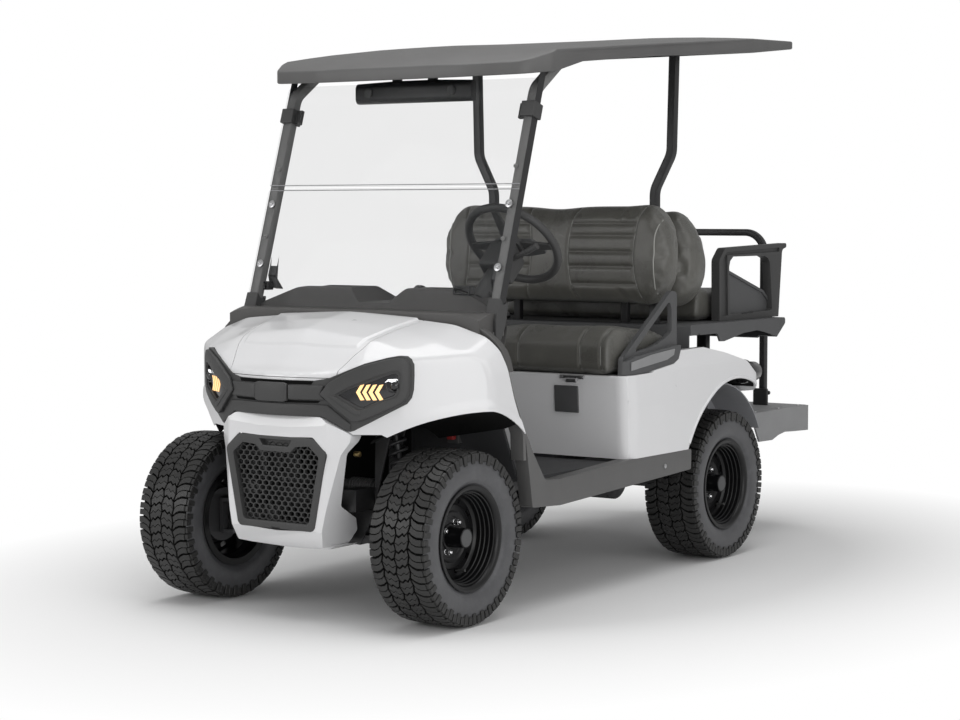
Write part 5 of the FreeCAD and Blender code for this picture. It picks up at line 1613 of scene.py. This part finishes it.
    def cowl(self, solid: Piece) -> None:
        """Wings and nose: the rest, with wheel arches and rolled arch lips.

        Args:
            solid: the shared solid, which is used up.
        """
        self.cut(solid, self.middle(self.gap, 0.779))
        self.cut(solid, Bench.front_prism(Bench.both(self.bumper), FRONT - 0.5, FRONT - 0.06))
        for sign in (1, -1):
            start, end = (sign * 0.2, FRONT, AXLE), (sign * 0.645, FRONT, AXLE)
            self.cut(solid, Bench.rod(start, end, 0.3187, 96, 0.0, 0.4124))
        cowl = self.peeled(solid)
        places = Bench.points(cowl)
        out = np.hypot(places[:, 1] - FRONT, places[:, 2] - AXLE)
        side = np.abs(places[:, 0])
        edge = 0.325 + 0.08 * (side - 0.23) / 0.38
        lip = self.lip * Seam.step(edge + 0.026 - out, 0, 0.012) * Seam.step(side, 0.47, 0.08)
        places[:, 0] += np.sign(places[:, 0]) * lip
        self.finished(Bench.set_points(cowl, places), "front_cowl")

    def chin(self) -> None:
        """Bumper with its lower edge drawn back and spread."""
        bumper = Bench.copied("front_bumper")
        places = Bench.points(bumper)
        low = places[:, 2] < 0.245
        places[low, 1] += 0.042
        places[low, 0] *= 1.06
        Bench.smooth(Bench.bevel(Bench.set_points(bumper, places), 0.006, 4, 20))
        Bench.stand(bumper, "front_bumper", "pearl_white")

    def build(self) -> None:
        """Make the front body."""
        solid = self.solid()
        for edge in (self.rear_edge, self.low_edge):
            self.cut(solid, Bench.side_prism(Bench.shifted(edge, FRONT), -0.8, 0.8))
        self.cut(solid, Bench.front_prism(Bench.both(Nose().mask), FRONT - 0.5, FRONT))
        self.hood(solid)
        self.cowl(solid)
        self.chin()


# Cabin


@dataclass
class Windscreen:
    """Struts, panes, clips and bolts."""

    lean: float = math.radians(17.66)
    half: float = 0.505
    tube: float = 0.034
    bolt_parts: tuple = ((0.0062, 0.0098, 1.35, 32, 0.0008, None), (0.0096, 0.014, 0.75, 6, 0.0007, None),
                         (0.0138, 0.0175, 0.5, 20, 0.0004, 0.25))
    collar: tuple = ((-0.024, 0.026), (0.0, 0.01), (0.024, 0.026), (0.03, -0.05), (0.016, -0.12),
                     (0.004, -0.15), (-0.01, -0.11), (-0.028, -0.05))

    def at(self, z: float, ahead: float = 0.0) -> tuple[float, float]:
        """Place (y, z) on the strut at a height, moved ahead of its middle line."""
        y = FRONT + 0.229 + (z - 0.953) * math.tan(self.lean)
        return y - ahead * math.cos(self.lean), z + ahead * math.sin(self.lean)

    def leant(self, made: Piece, z: float) -> Piece:
        """Turn a piece made upright at the strut so that it leans with it.

        Args:
            made: the piece.
            z: height of its middle on the strut.

        Returns:
            The leant piece.
        """
        y, _ = self.at(z)
        pivot = Matrix.Translation((0, y, z))
        made.data.transform(pivot @ Matrix.Rotation(-self.lean, 4, "X"))
        return made

    def bolt(self, z: float, radius: float) -> Piece:
        """Washer and domed nut on the front of the strut.

        Args:
            z: its height.
            radius: size of its head.

        Returns:
            The bolt in place.
        """
        front = -self.tube / 2
        x = self.half - 0.008
        parts = []
        for low, high, share, sides, edge, tip in self.bolt_parts:
            parts.append(Bench.rod((x, front - low, 0), (x, front - high, 0), radius * share, sides, edge,
                                   tip and radius * tip))
        return self.leant(Bench.joined(parts), z)

    def fasteners(self) -> None:
        """Bolts and screws on the struts."""
        for name, radius, finish, heights in (("windshield_bolts", 0.01, "bare_steel", (1.113, 1.318)),
                                              ("windshield_screws", 0.0055, "strut_paint", (1.205, 1.44))):
            heads = Bench.joined([self.bolt(z, radius) for z in heights])
            Bench.dress(Bench.mirrored(heads), name, finish)

    def clips(self) -> None:
        """Clips that wrap round the struts, with their ears."""
        wrap = Bench.block((self.half - 0.026, -0.03, -0.026), (self.half + 0.026, 0.024, 0.026), 0.003)
        Bench.combined(wrap, Bench.block((self.half - 0.0172, -0.0172, -0.05),
                                         (self.half + 0.0172, 0.05, 0.05)))
        ear = Bench.block((self.half - 0.047, -0.006, -0.026), (self.half - 0.024, 0.008, 0.026), 0.002)
        clips = Bench.mirrored(self.leant(Bench.joined([wrap, ear]), 1.628))
        Bench.stand(clips, "windshield_clips", "black_plastic")

    def build(self) -> None:
        """Make the windscreen."""
        Bench.stand(Bench.copied("windshield_struts", 0.004), "windshield_struts", "strut_paint")
        # Painted shade: a thin black plate on the outer face of each strut makes that side darker than the
        # lit front.
        x = self.half + 0.0172
        face = Bench.block((x, -0.0165, 0.02), (x + 0.001, 0.0165, 0.9), 0.0004, 1)
        Bench.dress(Bench.mirrored(self.leant(face, 0.953)), "strut_side_shade", "black_steel")
        self.fasteners()
        self.clips()
        for node in ("windshield_lower", "windshield_upper"):
            Bench.stand(Bench.copied(node, 0.001), node, "clear_glass")
        y, _ = self.at(1.38, self.tube / 2 + 0.0035)
        strips = [Bench.block((-0.522, y - 0.0022, z - 0.0016), (0.522, y + 0.0045, z + 0.0016), 0.0008)
                  for z in (1.3725, 1.3895)]
        Bench.dress(Bench.joined(strips), "windshield_joint", "seal")
        collar = Bench.side_prism(self.collar, self.half - 0.024, self.half + 0.026)
        Bench.combined(collar, Bench.block((self.half - 0.0172, -0.0172, -0.3),
                                           (self.half + 0.0172, 0.0172, 0.2)))
        collars = Bench.mirrored(self.leant(Bench.bevel(collar, 0.004), 0.99))
        Bench.dress(collars, "strut_collars", "black_plastic")
        arm = Bench.side_prism([self.at(1.118, -0.017), self.at(1.085, -0.017), (FRONT + 0.33, 1.03),
                                (FRONT + 0.29, 1.036), (FRONT + 0.292, 1.062)], 0.452, 0.484)
        Bench.dress(Bench.mirrored(Bench.bevel(arm, 0.004)), "strut_brackets", "grey_plastic")


@dataclass
class Helm:
    """Steering wheel, hub cover, stalk and column shroud."""

    centre: tuple = (0.33, FRONT + 0.597, 1.19)
    rake: float = math.radians(42 - 90)
    radius: float = 0.165
    grip: float = 0.0142
    spoke_angles: tuple = (0, 180, 270)
    spoke: tuple = ((0.035, -0.024), (0.16, -0.013), (0.16, 0.013), (0.035, 0.024))
    cover: tuple = ((-0.106, 0.052), (-0.112, 0.034), (-0.074, -0.01), (0.074, -0.01), (0.112, 0.034),
                    (0.106, 0.052), (0.03, 0.066), (-0.03, 0.066))

    def placed(self, made: Piece) -> Piece:
        """Move a piece made flat at the origin to the wheel's place."""
        made.data.transform(Matrix.Translation(self.centre) @ Matrix.Rotation(self.rake, 4, "X"))
        return made

    def wheel(self) -> None:
        """Rim, three spokes and hub, with the cover on top."""
        parts = [Bench.ring((0, 0, 0), (0, 0, 1), self.radius, self.grip, 96, 16)]
        for angle in self.spoke_angles:
            arm = Bench.plan_prism(self.spoke, -0.015, -0.005)
            arm.data.transform(Matrix.Rotation(math.radians(angle), 4, "Z"))
            parts.append(Bench.bevel(arm, 0.004, 3))
        parts.append(Bench.rod((0, 0, -0.03), (0, 0, 0.004), 0.054, 48, 0.004, 0.044))
        Bench.stand(self.placed(Bench.joined(parts)), "steering_wheel", "black_plastic", "steering_wheel")
        cover = Bench.bevel(Bench.plan_prism(self.cover, 0.006, 0.02), 0.005, 3)
        Bench.dress(self.placed(cover), "steering_hub_cover", "grey_plastic", "steering_wheel")

    def build(self) -> None:
        """Make the steering gear that shows."""
        self.wheel()
        shroud = Bench.block((-0.05, -0.052, -0.15), (0.05, 0.052, -0.036), 0.012, 3)
        stem = Bench.rod((0, 0, -0.28), (0, 0, -0.14), 0.03, 32, 0.004)
        Bench.stand(self.placed(Bench.joined([shroud, stem])), "steering_column", "black_plastic")
        stalk = [Bench.rod((0.045, -0.01, -0.085), (0.15, -0.05, -0.062), 0.0085, 20, 0.002, 0.0105)]
        for k in range(5):
            place = (0.1 + k * 0.011, -0.031 - k * 0.0042, -0.0725 + k * 0.0024)
            stalk.append(Bench.ring(place, (0.92, -0.35, 0.2), 0.0098, 0.0016, 24, 6))
        Bench.dress(self.placed(Bench.joined(stalk)), "direction_stalk", "black_plastic")


@dataclass
class Cabin:
    """Dash, mirror, roof, floor edge and small cabin pieces."""

    dash_end: tuple = ((0.34, 0.58), (0.36, 0.52), (0.49, 0.276), (0.518, 0.262), (0.518, 0.05),
                       (0.7, 0.05), (0.7, 0.58))
    trim: tuple = ((0.48, 0.944), (0.505, 0.936), (0.53, 0.923), (0.548, 0.909), (0.575, 0.884),
                   (0.59, 0.86), (0.597, 0.828), (0.597, 0.79), (0.555, 0.79), (0.552, 0.82),
                   (0.545, 0.845), (0.525, 0.872), (0.5, 0.892), (0.48, 0.9))
    trim_heights: tuple = (0.79, 0.846, 0.9, 0.95)
    trim_stations: tuple = (0.169, 0.149, 0.132, 0.121)
    clip_places: tuple = (0.35, -0.5)
    knob_places: tuple = (-0.185, 0.165)

    def dash(self) -> None:
        """Dash moulding, trimmed behind the wings, with an end trim on each side and two clips."""
        made = Bench.copied("dash")
        for sign in (1, -1):
            outline = [(sign * x, FRONT + y) for x, y in self.dash_end]
            Bench.combined(made, Bench.plan_prism(outline, 0.8, 1.1))
        Bench.stand(Bench.smooth(Bench.bevel(made, 0.005, 3), 32), "dash", "dash_plastic")
        band = Bench.front_prism(self.trim, 0.0, 0.034)
        places = Bench.points(band)
        places[:, 1] += FRONT + np.interp(places[:, 2], self.trim_heights, self.trim_stations)
        Bench.bevel(Bench.set_points(band, places), 0.005, 3)
        Bench.dress(Bench.mirrored(Bench.smooth(band)), "dash_end_trims", "dash_plastic")
        boxes = []
        for x in self.clip_places:
            shell = Bench.block((x - 0.034, FRONT + 0.262, 1.028), (x + 0.034, FRONT + 0.292, 1.058), 0.003)
            hollow = Bench.block((x - 0.028, FRONT + 0.2, 1.034), (x + 0.028, FRONT + 0.284, 1.052))
            boxes.append(Bench.combined(shell, hollow))
        Bench.dress(Bench.joined(boxes), "dash_clips", "gloss_black")

    def mirror(self) -> None:
        """Wide mirror with a bowed face and two knobs."""
        made = Bench.copied("mirror", 0.009, 3)
        places = Bench.points(made)
        low = places[:, 2] < 1.76
        bow = 0.006 * (1 - (places[low, 0] / 0.243) ** 2)
        places[low, 2] += bow * np.where(places[low, 2] > 1.7, 1, -1)
        Bench.stand(Bench.set_points(made, places), "mirror", "rim_paint")
        knobs = [Bench.rod((x, FRONT + 0.473, 1.707), (x, FRONT + 0.466, 1.707), 0.017, 32, 0.002)
                 for x in self.knob_places]
        Bench.dress(Bench.joined(knobs), "mirror_knobs", "black_plastic")

    def latch(self) -> None:
        """Latch under the front cushion."""
        y = REAR - 0.79
        plate = Bench.block((0.325, y - 0.005, 0.716), (0.425, y + 0.002, 0.7295), 0.002)
        tongue = Bench.block((0.352, y - 0.012, 0.704), (0.398, y - 0.003, 0.719), 0.003)
        screws = [Bench.rod((x, y - 0.003, 0.7225), (x, y - 0.0075, 0.7225), 0.0042, 16, 0.0006)
                  for x in (0.334, 0.416)]
        Bench.dress(Bench.joined([plate, tongue, *screws]), "seat_latch", "bare_steel")

    def build(self) -> None:
        """Make the cabin pieces."""
        self.dash()
        self.mirror()
        Bench.stand(Bench.copied("roof", 0.006, 3, 24), "roof", "roof_plastic")
        self.latch()
        Bench.stand(Bench.copied("charge_door", 0.006, 3), "charge_door", "grey_plastic", "charge_door")
        Bench.stand(Bench.copied("sills", 0.006, 3), "sills", "roof_plastic")
        head = Bench.rod((0.5915, REAR - 0.514, 0.396), (0.5955, REAR - 0.514, 0.396), 0.008, 24, 0.001)
        Bench.dress(Bench.mirrored(head), "sill_screws", "bare_steel")


# Rear


@dataclass
class Rear:
    """Rear body, tray, armrests, footplate and lamps; outlines are measured from the rear axle."""

    arch_y: float = 0.022
    arch_radius: float = 0.4035
    guard_radius: float = 0.372
    guard_thick: float = 0.005
    corner_x: float = 0.54
    corner_radius: float = 0.06
    corner_cuts: tuple = (0.0, 0.25, 0.5, 0.72, 0.88, 0.97)
    tray_skirt: tuple = ((-0.192, 0.7), (-0.188, 0.853), (-0.12, 0.819), (0.012, 0.814), (0.079, 0.824),
                         (0.163, 0.838), (0.285, 0.844), (0.355, 0.833), (0.445, 0.813), (0.5, 0.7))
    plate_skirt: tuple = ((0.3, 0.3), (0.3, 0.497), (0.424, 0.497), (0.491, 0.388), (0.601, 0.386),
                          (0.656, 0.402), (0.713, 0.41), (0.789, 0.406), (0.95, 0.4), (0.95, 0.3))
    arm_window: tuple = ((0.152, 0.914), (0.142, 1.09), (0.15, 1.112), (0.174, 1.128), (0.43, 1.128),
                         (0.462, 1.118), (0.48, 1.1), (0.503, 0.918), (0.496, 0.912), (0.16, 0.91))
    arm_channel: tuple = ((0.082, 0.905), (0.08, 1.105), (0.118, 1.146), (0.56, 1.158), (0.56, 1.142),
                          (0.124, 1.134), (0.126, 1.12), (0.134, 0.905))
    gusset: tuple = ((0.146, 0.9065), (0.146, 1.082), (0.461, 0.989), (0.505, 0.957), (0.506, 0.9065))
    gusset_rib: tuple = ((0.15, 1.072), (0.15, 1.083), (0.463, 0.992), (0.506, 0.96), (0.504, 0.948),
                         (0.458, 0.981))
    hip_window: tuple = ((-0.674, 0.8105), (-0.672, 0.824), (-0.448, 0.975), (-0.434, 0.972),
                         (-0.424, 0.95), (-0.422, 0.872), (-0.47, 0.847), (-0.56, 0.823))
    hip_foot: tuple = ((-0.738, 0.748), (-0.6, 0.762), (-0.49, 0.773), (-0.44, 0.788), (-0.432, 0.81),
                       (-0.49, 0.806), (-0.6, 0.797), (-0.738, 0.777))
    fender_rib: tuple = ((0.205, 0.45), (0.205, 0.64), (0.222, 0.63), (0.222, 0.45))

    def outlined(self, points: Outline, x0: float, x1: float) -> Piece:
        """A side outline measured from the rear axle, extruded across the vehicle."""
        return Bench.side_prism(Bench.shifted(points, REAR), x0, x1)

    def opened(self, made: Piece, outline: Outline, x0: float, x1: float) -> Piece:
        """Cut a side outline out of a piece, between two distances from the middle, on both sides."""
        for sign in (1, -1):
            Bench.combined(made, self.outlined(outline, sign * x0, sign * x1))
        return made

    def plain(self) -> None:
        """CAD pieces that only gain rounded edges."""
        for node, edge in (("grab_bar", 0.006), ("roof_struts", 0.006), ("seat_frame", 0.002),
                           ("footplate_arms", 0.004)):
            Bench.stand(Bench.copied(node, edge, 3), node, "black_steel")

    def trimmed(self) -> None:
        """Tray and footplate with the lower outlines of their side skirts."""
        for node, edge, finish, x0, x1, skirt in (
            ("rear_tray", 0.006, "grey_plastic", 0.47, 0.6, self.tray_skirt),
            ("footplate", 0.003, "footplate_coat", 0.405, 0.5, self.plate_skirt),
        ):
            made = self.opened(Bench.copied(node), skirt, x0, x1)
            Bench.stand(Bench.smooth(Bench.bevel(made, edge, 3)), node, finish)

    def arc(self, angles: Sequence[float], radius: float) -> list:
        """Side outline of an arc round the wheel, at angles from straight up."""
        return [(self.arch_y + radius * math.sin(a), AXLE + radius * math.cos(a)) for a in angles]

    def body(self) -> None:
        """Rear body with a rolled lip round each wheel arch, where rays from the side meet it."""
        made = Bench.bevel(self.cornered(Bench.copied("rear_body")), 0.004, 3)
        path = []
        for angle in np.linspace(157, 24, 34):
            y = REAR + self.arch_y + self.arch_radius * math.cos(math.radians(angle))
            z = AXLE + self.arch_radius * math.sin(math.radians(angle))
            hit, place, _, _ = made.ray_cast(Vector((0.75, y, z)), Vector((-1, 0, 0)))
            if hit and place.x > 0.45:
                path.append((place.x - 0.0015, y, z))
        lip = Bench.mirrored(Bench.tube(path, 0.0062, sides=3))
        Bench.stand(made, "rear_body", "pearl_white")
        Bench.dress(lip, "rear_arch_lips", "pearl_white")

    def fenders(self) -> None:
        """Inner fenders: a guard over the tyre, its side wall and a rib."""
        angles = [math.radians(a) for a in np.linspace(-30, 61, 24)]
        inside = self.arc(angles, self.guard_radius)
        outside = self.arc(angles[::-1], self.guard_radius + self.guard_thick)
        parts = [
            self.outlined(inside + outside, 0.356, 0.52),
            self.outlined([(-0.164, 0.45)] + inside + [(0.25, 0.42)], 0.352, 0.357),
            self.outlined(self.fender_rib, 0.3565, 0.372),
        ]
        Bench.dress(Bench.mirrored(Bench.joined(parts)), "inner_fenders", "fender_plastic")

    def cornered(self, made: Piece) -> Piece:
        """Round the upright front corners of a piece on the rear body.

        Args:
            made: the piece.

        Returns:
            The rounded piece.
        """
        with Bench.editing(made):
            for cut in self.corner_cuts:
                reach = self.corner_x + self.corner_radius * cut
                station = REAR - 0.706 - self.corner_radius * cut
                for place, normal in (((reach, 0, 0), (1, 0, 0)), ((-reach, 0, 0), (1, 0, 0)),
                                      ((0, station, 0), (0, 1, 0))):
                    bpy.ops.mesh.select_all(action="SELECT")
                    bpy.ops.mesh.bisect(plane_co=place, plane_no=normal)
        places = Bench.points(made)
        side = np.abs(places[:, 0]) - self.corner_x
        middle = REAR - 0.701 - 0.019 * (places[:, 2] - 0.441) / 0.29
        ahead = middle - places[:, 1]
        inside = (side > 0) & (ahead > 0) & (places[:, 2] < 0.8)
        scale = np.maximum(side, ahead) / np.maximum(np.hypot(side, ahead), 1e-6)
        across = np.sign(places[:, 0]) * (self.corner_x + side * scale)
        places[:, 0] = np.where(inside, across, places[:, 0])
        places[:, 1] = np.where(inside, middle - ahead * scale, places[:, 1])
        return Bench.set_points(made, places)

    def armrests(self) -> None:
        """Armrests with full windows, an outer channel, gusset panels and their ribs."""
        arms = self.opened(Bench.copied("armrests"), self.arm_window, 0.44, 0.52)
        Bench.smooth(Bench.bevel(arms, 0.005, 3))
        self.opened(arms, self.arm_channel, 0.487, 0.52)
        Bench.stand(Bench.smooth(arms), "armrests", "black_plastic")
        panels = [Bench.bevel(self.outlined(self.gusset, 0.464, 0.47), 0.0015),
                  Bench.bevel(self.outlined(self.gusset_rib, 0.464, 0.476), 0.0015)]
        Bench.dress(Bench.mirrored(Bench.joined(panels)), "armrest_gussets", "grey_plastic")

    def restraints(self) -> None:
        """Hip restraints with full windows and a pale inset on the foot."""
        loops = self.cornered(self.opened(Bench.copied("hip_restraints"), self.hip_window, 0.53, 0.6))
        Bench.smooth(Bench.bevel(loops, 0.004, 3))
        _, place, _, _ = loops.ray_cast(Vector((0.75, REAR - 0.6, 0.78)), Vector((-1, 0, 0)))
        inset = self.outlined(self.hip_foot, place.x - 0.002, place.x + 0.0028)
        Bench.dress(Bench.mirrored(Bench.bevel(inset, 0.0018)), "restraint_insets", "footplate_coat")
        Bench.stand(loops, "hip_restraints", "grey_plastic")

    def lamps(self) -> None:
        """Round rear lamps: dark housings with red lenses."""
        Bench.stand(Bench.copied("tail_lamps", 0.004, 3), "tail_lamps", "gloss_black")
        x, z = 0.545, 0.688
        bulge = Bench.rod((x, REAR + 0.15, z), (x, REAR + 0.262, z), 0.044, 48, 0.012, 0.036)
        Bench.dress(Bench.mirrored(bulge), "tail_lamp_shells", "gloss_black")
        y = REAR + 0.2602
        lens = Bench.rod((0.505, y - 0.001, 0.69), (0.505, y + 0.0035, 0.69), 0.029, 48, 0.0015, 0.026)
        Bench.dress(Bench.mirrored(lens), "tail_lamp_lenses", "red_lens")

    def fittings(self) -> None:
        """Grab bar foot, pin and the footplate's screws."""
        y = REAR + 0.81
        foot = Bench.block((0.268, y - 0.03, 0.5055), (0.332, y - 0.0145, 0.575), 0.004)
        pin = Bench.rod((0.3, y + 0.012, 0.552), (0.3, y + 0.04, 0.552), 0.0045, 16, 0.001)
        knob = Bench.rod((0.3, y + 0.036, 0.552), (0.3, y + 0.052, 0.552), 0.0085, 20, 0.002)
        Bench.dress(Bench.mirrored(Bench.joined([foot, pin, knob])), "grab_bar_fittings", "black_steel")
        screws = [Bench.rod((x, REAR + station, 0.5045), (x, REAR + station, 0.5075), 0.0075, 24, 0.0008)
                  for x in (-0.425, 0.425) for station in (0.5, 0.7, 0.875)]
        Bench.dress(Bench.joined(screws), "footplate_screws", "bare_steel")

    def build(self) -> None:
        """Make the rear."""
        for step in (self.plain, self.trimmed, self.body, self.fenders, self.armrests, self.restraints,
                     self.lamps, self.fittings):
            step()


# Running gear


@dataclass
class FrontGear:
    """Dampers with coil springs, boots, bellows and small brackets round the front wheels, and the frame
    and rear axle.
    """

    low: tuple = (0.334, FRONT, 0.322)
    high: tuple = (0.264, FRONT, 0.6495)
    coil: float = 0.0295
    wire: float = 0.0056
    turns: float = 7.5
    steps_a_turn: int = 12
    damper_parts: tuple = ((0.02, 0.5, 0.02, None), (0.48, 0.96, 0.009, None), (0.16, 0.195, 0.036, None),
                           (0.865, 0.9, 0.036, None), (0.9, 0.95, 0.03, 0.016), (0.94, 1.0, 0.014, None),
                           (-0.03, 0.06, 0.013, None))

    def spring(self) -> Piece:
        """Coil between its two seats.

        Returns:
            The coil as a tube.
        """
        start, end = Vector(self.low), Vector(self.high)
        turn = (end - start).to_track_quat("Z", "Y").to_matrix()
        length = (end - start).length
        steps = int(self.turns * self.steps_a_turn)
        path = []
        for k in range(steps + 1):
            share = k / steps
            angle = math.tau * self.turns * share
            height = length * (0.2 + 0.66 * share)
            across = (self.coil * math.cos(angle), self.coil * math.sin(angle), height)
            path.append(start + turn @ Vector(across))
        return Bench.tube(path, self.wire)

    def damper(self) -> Piece:
        """Body, rod, seats and eyes, each between two shares of the length."""
        start, end = Vector(self.low), Vector(self.high)
        return Bench.joined([Bench.rod(start.lerp(end, a), start.lerp(end, b), radius, 32, 0.0012, tip)
                             for a, b, radius, tip in self.damper_parts])

    def build(self) -> None:
        """Make the pieces round the front axle."""
        Bench.dress(Bench.mirrored(self.spring()), "coil_springs", "black_steel")
        Bench.stand(Bench.mirrored(self.damper()), "coilovers", "black_steel")
        for node, finish in (("frame", "black_steel"), ("front_suspension", "black_steel"),
                             ("rear_axle", "cast_metal"), ("rear_springs", "black_steel")):
            Bench.stand(Bench.copied(node, 0.003), node, finish)
        boots = [Bench.ring((0.128 + k * 0.009, FRONT + 0.112, AXLE - 0.029), (1, 0, 0),
                            0.0235 - 0.0012 * k, 0.0052, 32, 8) for k in range(7)]
        Bench.dress(Bench.mirrored(Bench.joined(boots)), "rack_boots", "black_plastic")
        plug = Bench.block((0.328, FRONT + 0.21, 0.558), (0.352, FRONT + 0.232, 0.586), 0.003)
        Bench.dress(plug, "service_plug", "red_plastic")
        holder = Bench.block((0.318, FRONT + 0.228, 0.545), (0.362, FRONT + 0.262, 0.598), 0.003)
        Bench.dress(holder, "plug_holder", "black_plastic")
        stud = Bench.rod((0.192, FRONT - 0.101, 0.53), (0.212, FRONT - 0.101, 0.53), 0.01, 6, 0.001)
        Bench.dress(stud, "frame_stud", "brass")
        y, z = FRONT - 0.016, 0.417
        folds = [Bench.ring((0.12 + k * 0.01, y, z), (1, 0, 0), 0.0225, 0.0055, 32, 8) for k in range(9)]
        folds.append(Bench.rod((-0.2, y, z), (0.215, y, z), 0.019, 32, 0.002))
        Bench.dress(Bench.joined(folds), "brake_bellows", "black_plastic")
        # Painted shade: the panel behind the grille takes the near-black shade finish.
        splash = Bench.block((-0.235, FRONT + 0.14, 0.315), (0.235, FRONT + 0.145, 0.6), 0.002)
        Bench.dress(splash, "splash_panel", "deep_shadow")


# Studio


@dataclass
class Studio:
    """Floor, lamps and camera."""

    eye: tuple[float, float, float] = (4.4711, -6.8008, 1.2962)
    azimuth: float = 34.466
    pitch: float = 3.822
    lens: float = 82.815
    floor_size: float = 60.0
    fade: float = 1.15
    sky_strength: float = 0.4
    lights: tuple = (
        ("top_lamp", (0.2, -0.6, 5.5), 5.0, 157.0),
        ("side_lamp", (6.0, -1.0, 3.2), 3.5, 48.0),
        ("front_lamp", (-3.6, -6.6, 2.5), 3.0, 84.0),
        ("fill_lamp", (6.2, -5.4, 1.6), 4.0, 115.0),
    )

    def build(self) -> None:
        """Set up the whole studio."""
        self.floor()
        self.world()
        self.lamps()
        self.camera()
        bpy.context.scene.view_settings.view_transform = "Standard"

    def floor(self) -> None:
        """Pale floor that takes the shadow and fades to white away from the vehicle."""
        plane = Bench.settle(Bench.fresh(bpy.ops.mesh.primitive_plane_add, size=self.floor_size,
                                         location=(0, 0, -0.0005)))
        plane.name = "studio_floor"
        paint = Paint("studio_floor")
        pale = paint.mixed(paint.noise(1.5), (0.87, 0.87, 0.87), (0.89, 0.89, 0.89))
        shader = paint.raw("ShaderNodeBsdfPrincipled", None, {"Base Color": pale, "Roughness": 0.9})
        white = paint.raw("ShaderNodeEmission", None, {"Color": WHITE, "Strength": 1.0})
        x, y = paint.axis("X"), paint.axis("Y")
        far = x * x * 0.55 + y * y * 0.28
        far = far.maths("SQRT", far)
        share = paint.on_camera() * far.above(self.fade, 0.7)
        mix = paint.raw("ShaderNodeMixShader", None, {0: share, 1: shader.outputs[0], 2: white.outputs[0]})
        paint.raw("ShaderNodeOutputMaterial", None, {0: mix.outputs[0]})
        plane.data.materials.append(paint.material)

    def world(self) -> None:
        """Pale world that the camera sees as white."""
        sky = Paint("studio", world=True)
        bpy.context.scene.world = sky.material
        soft = sky.raw("ShaderNodeBackground", None, {"Color": WHITE, "Strength": self.sky_strength})
        white = sky.raw("ShaderNodeBackground", None, {"Color": WHITE, "Strength": 1.0})
        mix = sky.raw("ShaderNodeMixShader", None,
                      {0: sky.on_camera(), 1: soft.outputs[0], 2: white.outputs[0]})
        sky.raw("ShaderNodeOutputWorld", None, {0: mix.outputs[0]})

    def lamps(self) -> None:
        """Soft lamps round the vehicle."""
        for name, place, size, power in self.lights:
            data = bpy.data.lights.new(name, "AREA")
            data.size = size
            data.energy = power
            lamp = bpy.data.objects.new(name, data)
            bpy.context.scene.collection.objects.link(lamp)
            lamp.location = place
            aim = Vector((0, 0, 0.7)) - Vector(place)
            lamp.rotation_euler = aim.to_track_quat("-Z", "Y").to_euler()

    def camera(self) -> None:
        """Camera at the angle of the picture."""
        data = bpy.data.cameras.new("camera")
        data.lens = self.lens
        data.sensor_width = 36.0
        data.sensor_fit = "HORIZONTAL"
        data.clip_end = 200.0
        eye = bpy.data.objects.new("camera", data)
        bpy.context.scene.collection.objects.link(eye)
        eye.location = self.eye
        turn, tilt = math.radians(self.azimuth), math.radians(self.pitch)
        aim = Vector((-math.sin(turn) * math.cos(tilt), math.cos(turn) * math.cos(tilt), -math.sin(tilt)))
        eye.rotation_euler = aim.to_track_quat("-Z", "Y").to_euler()
        bpy.context.scene.camera = eye


@dataclass
class CarriedNodes:
    """CAD nodes that are shown as they are, with their finishes."""

    # Painted shade: the wheel liners take the near-black shade finish, which darkens the wheel wells.
    finishes: dict[str, str] = field(default_factory=lambda: {"wheel_liners": "deep_shadow"})

    def build(self) -> None:
        """Give each CAD node the finish of its slot in the record."""
        slots = {part["node"]: part["material_slot"] for part in frame["record"]["subparts"]}
        for node, obj in frame["nodes"].items():
            finish = self.finishes.get(node, slots[node])
            obj.data.materials.clear()
            obj.data.materials.append(Paintbox.take(finish))
            LOG.info("%s: finish %s", node, finish)


def main() -> None:
    """Build every sub-assembly in order."""
    Studio().build()
    CarriedNodes().build()
    for part in (Wheels, Seats, Face, Grille, FrontBody, Windscreen, Helm, Cabin, Rear, FrontGear):
        part().build()


if __name__ == "__main__":
    logging.basicConfig(level=logging.INFO, format="%(name)s: %(message)s")
    main()
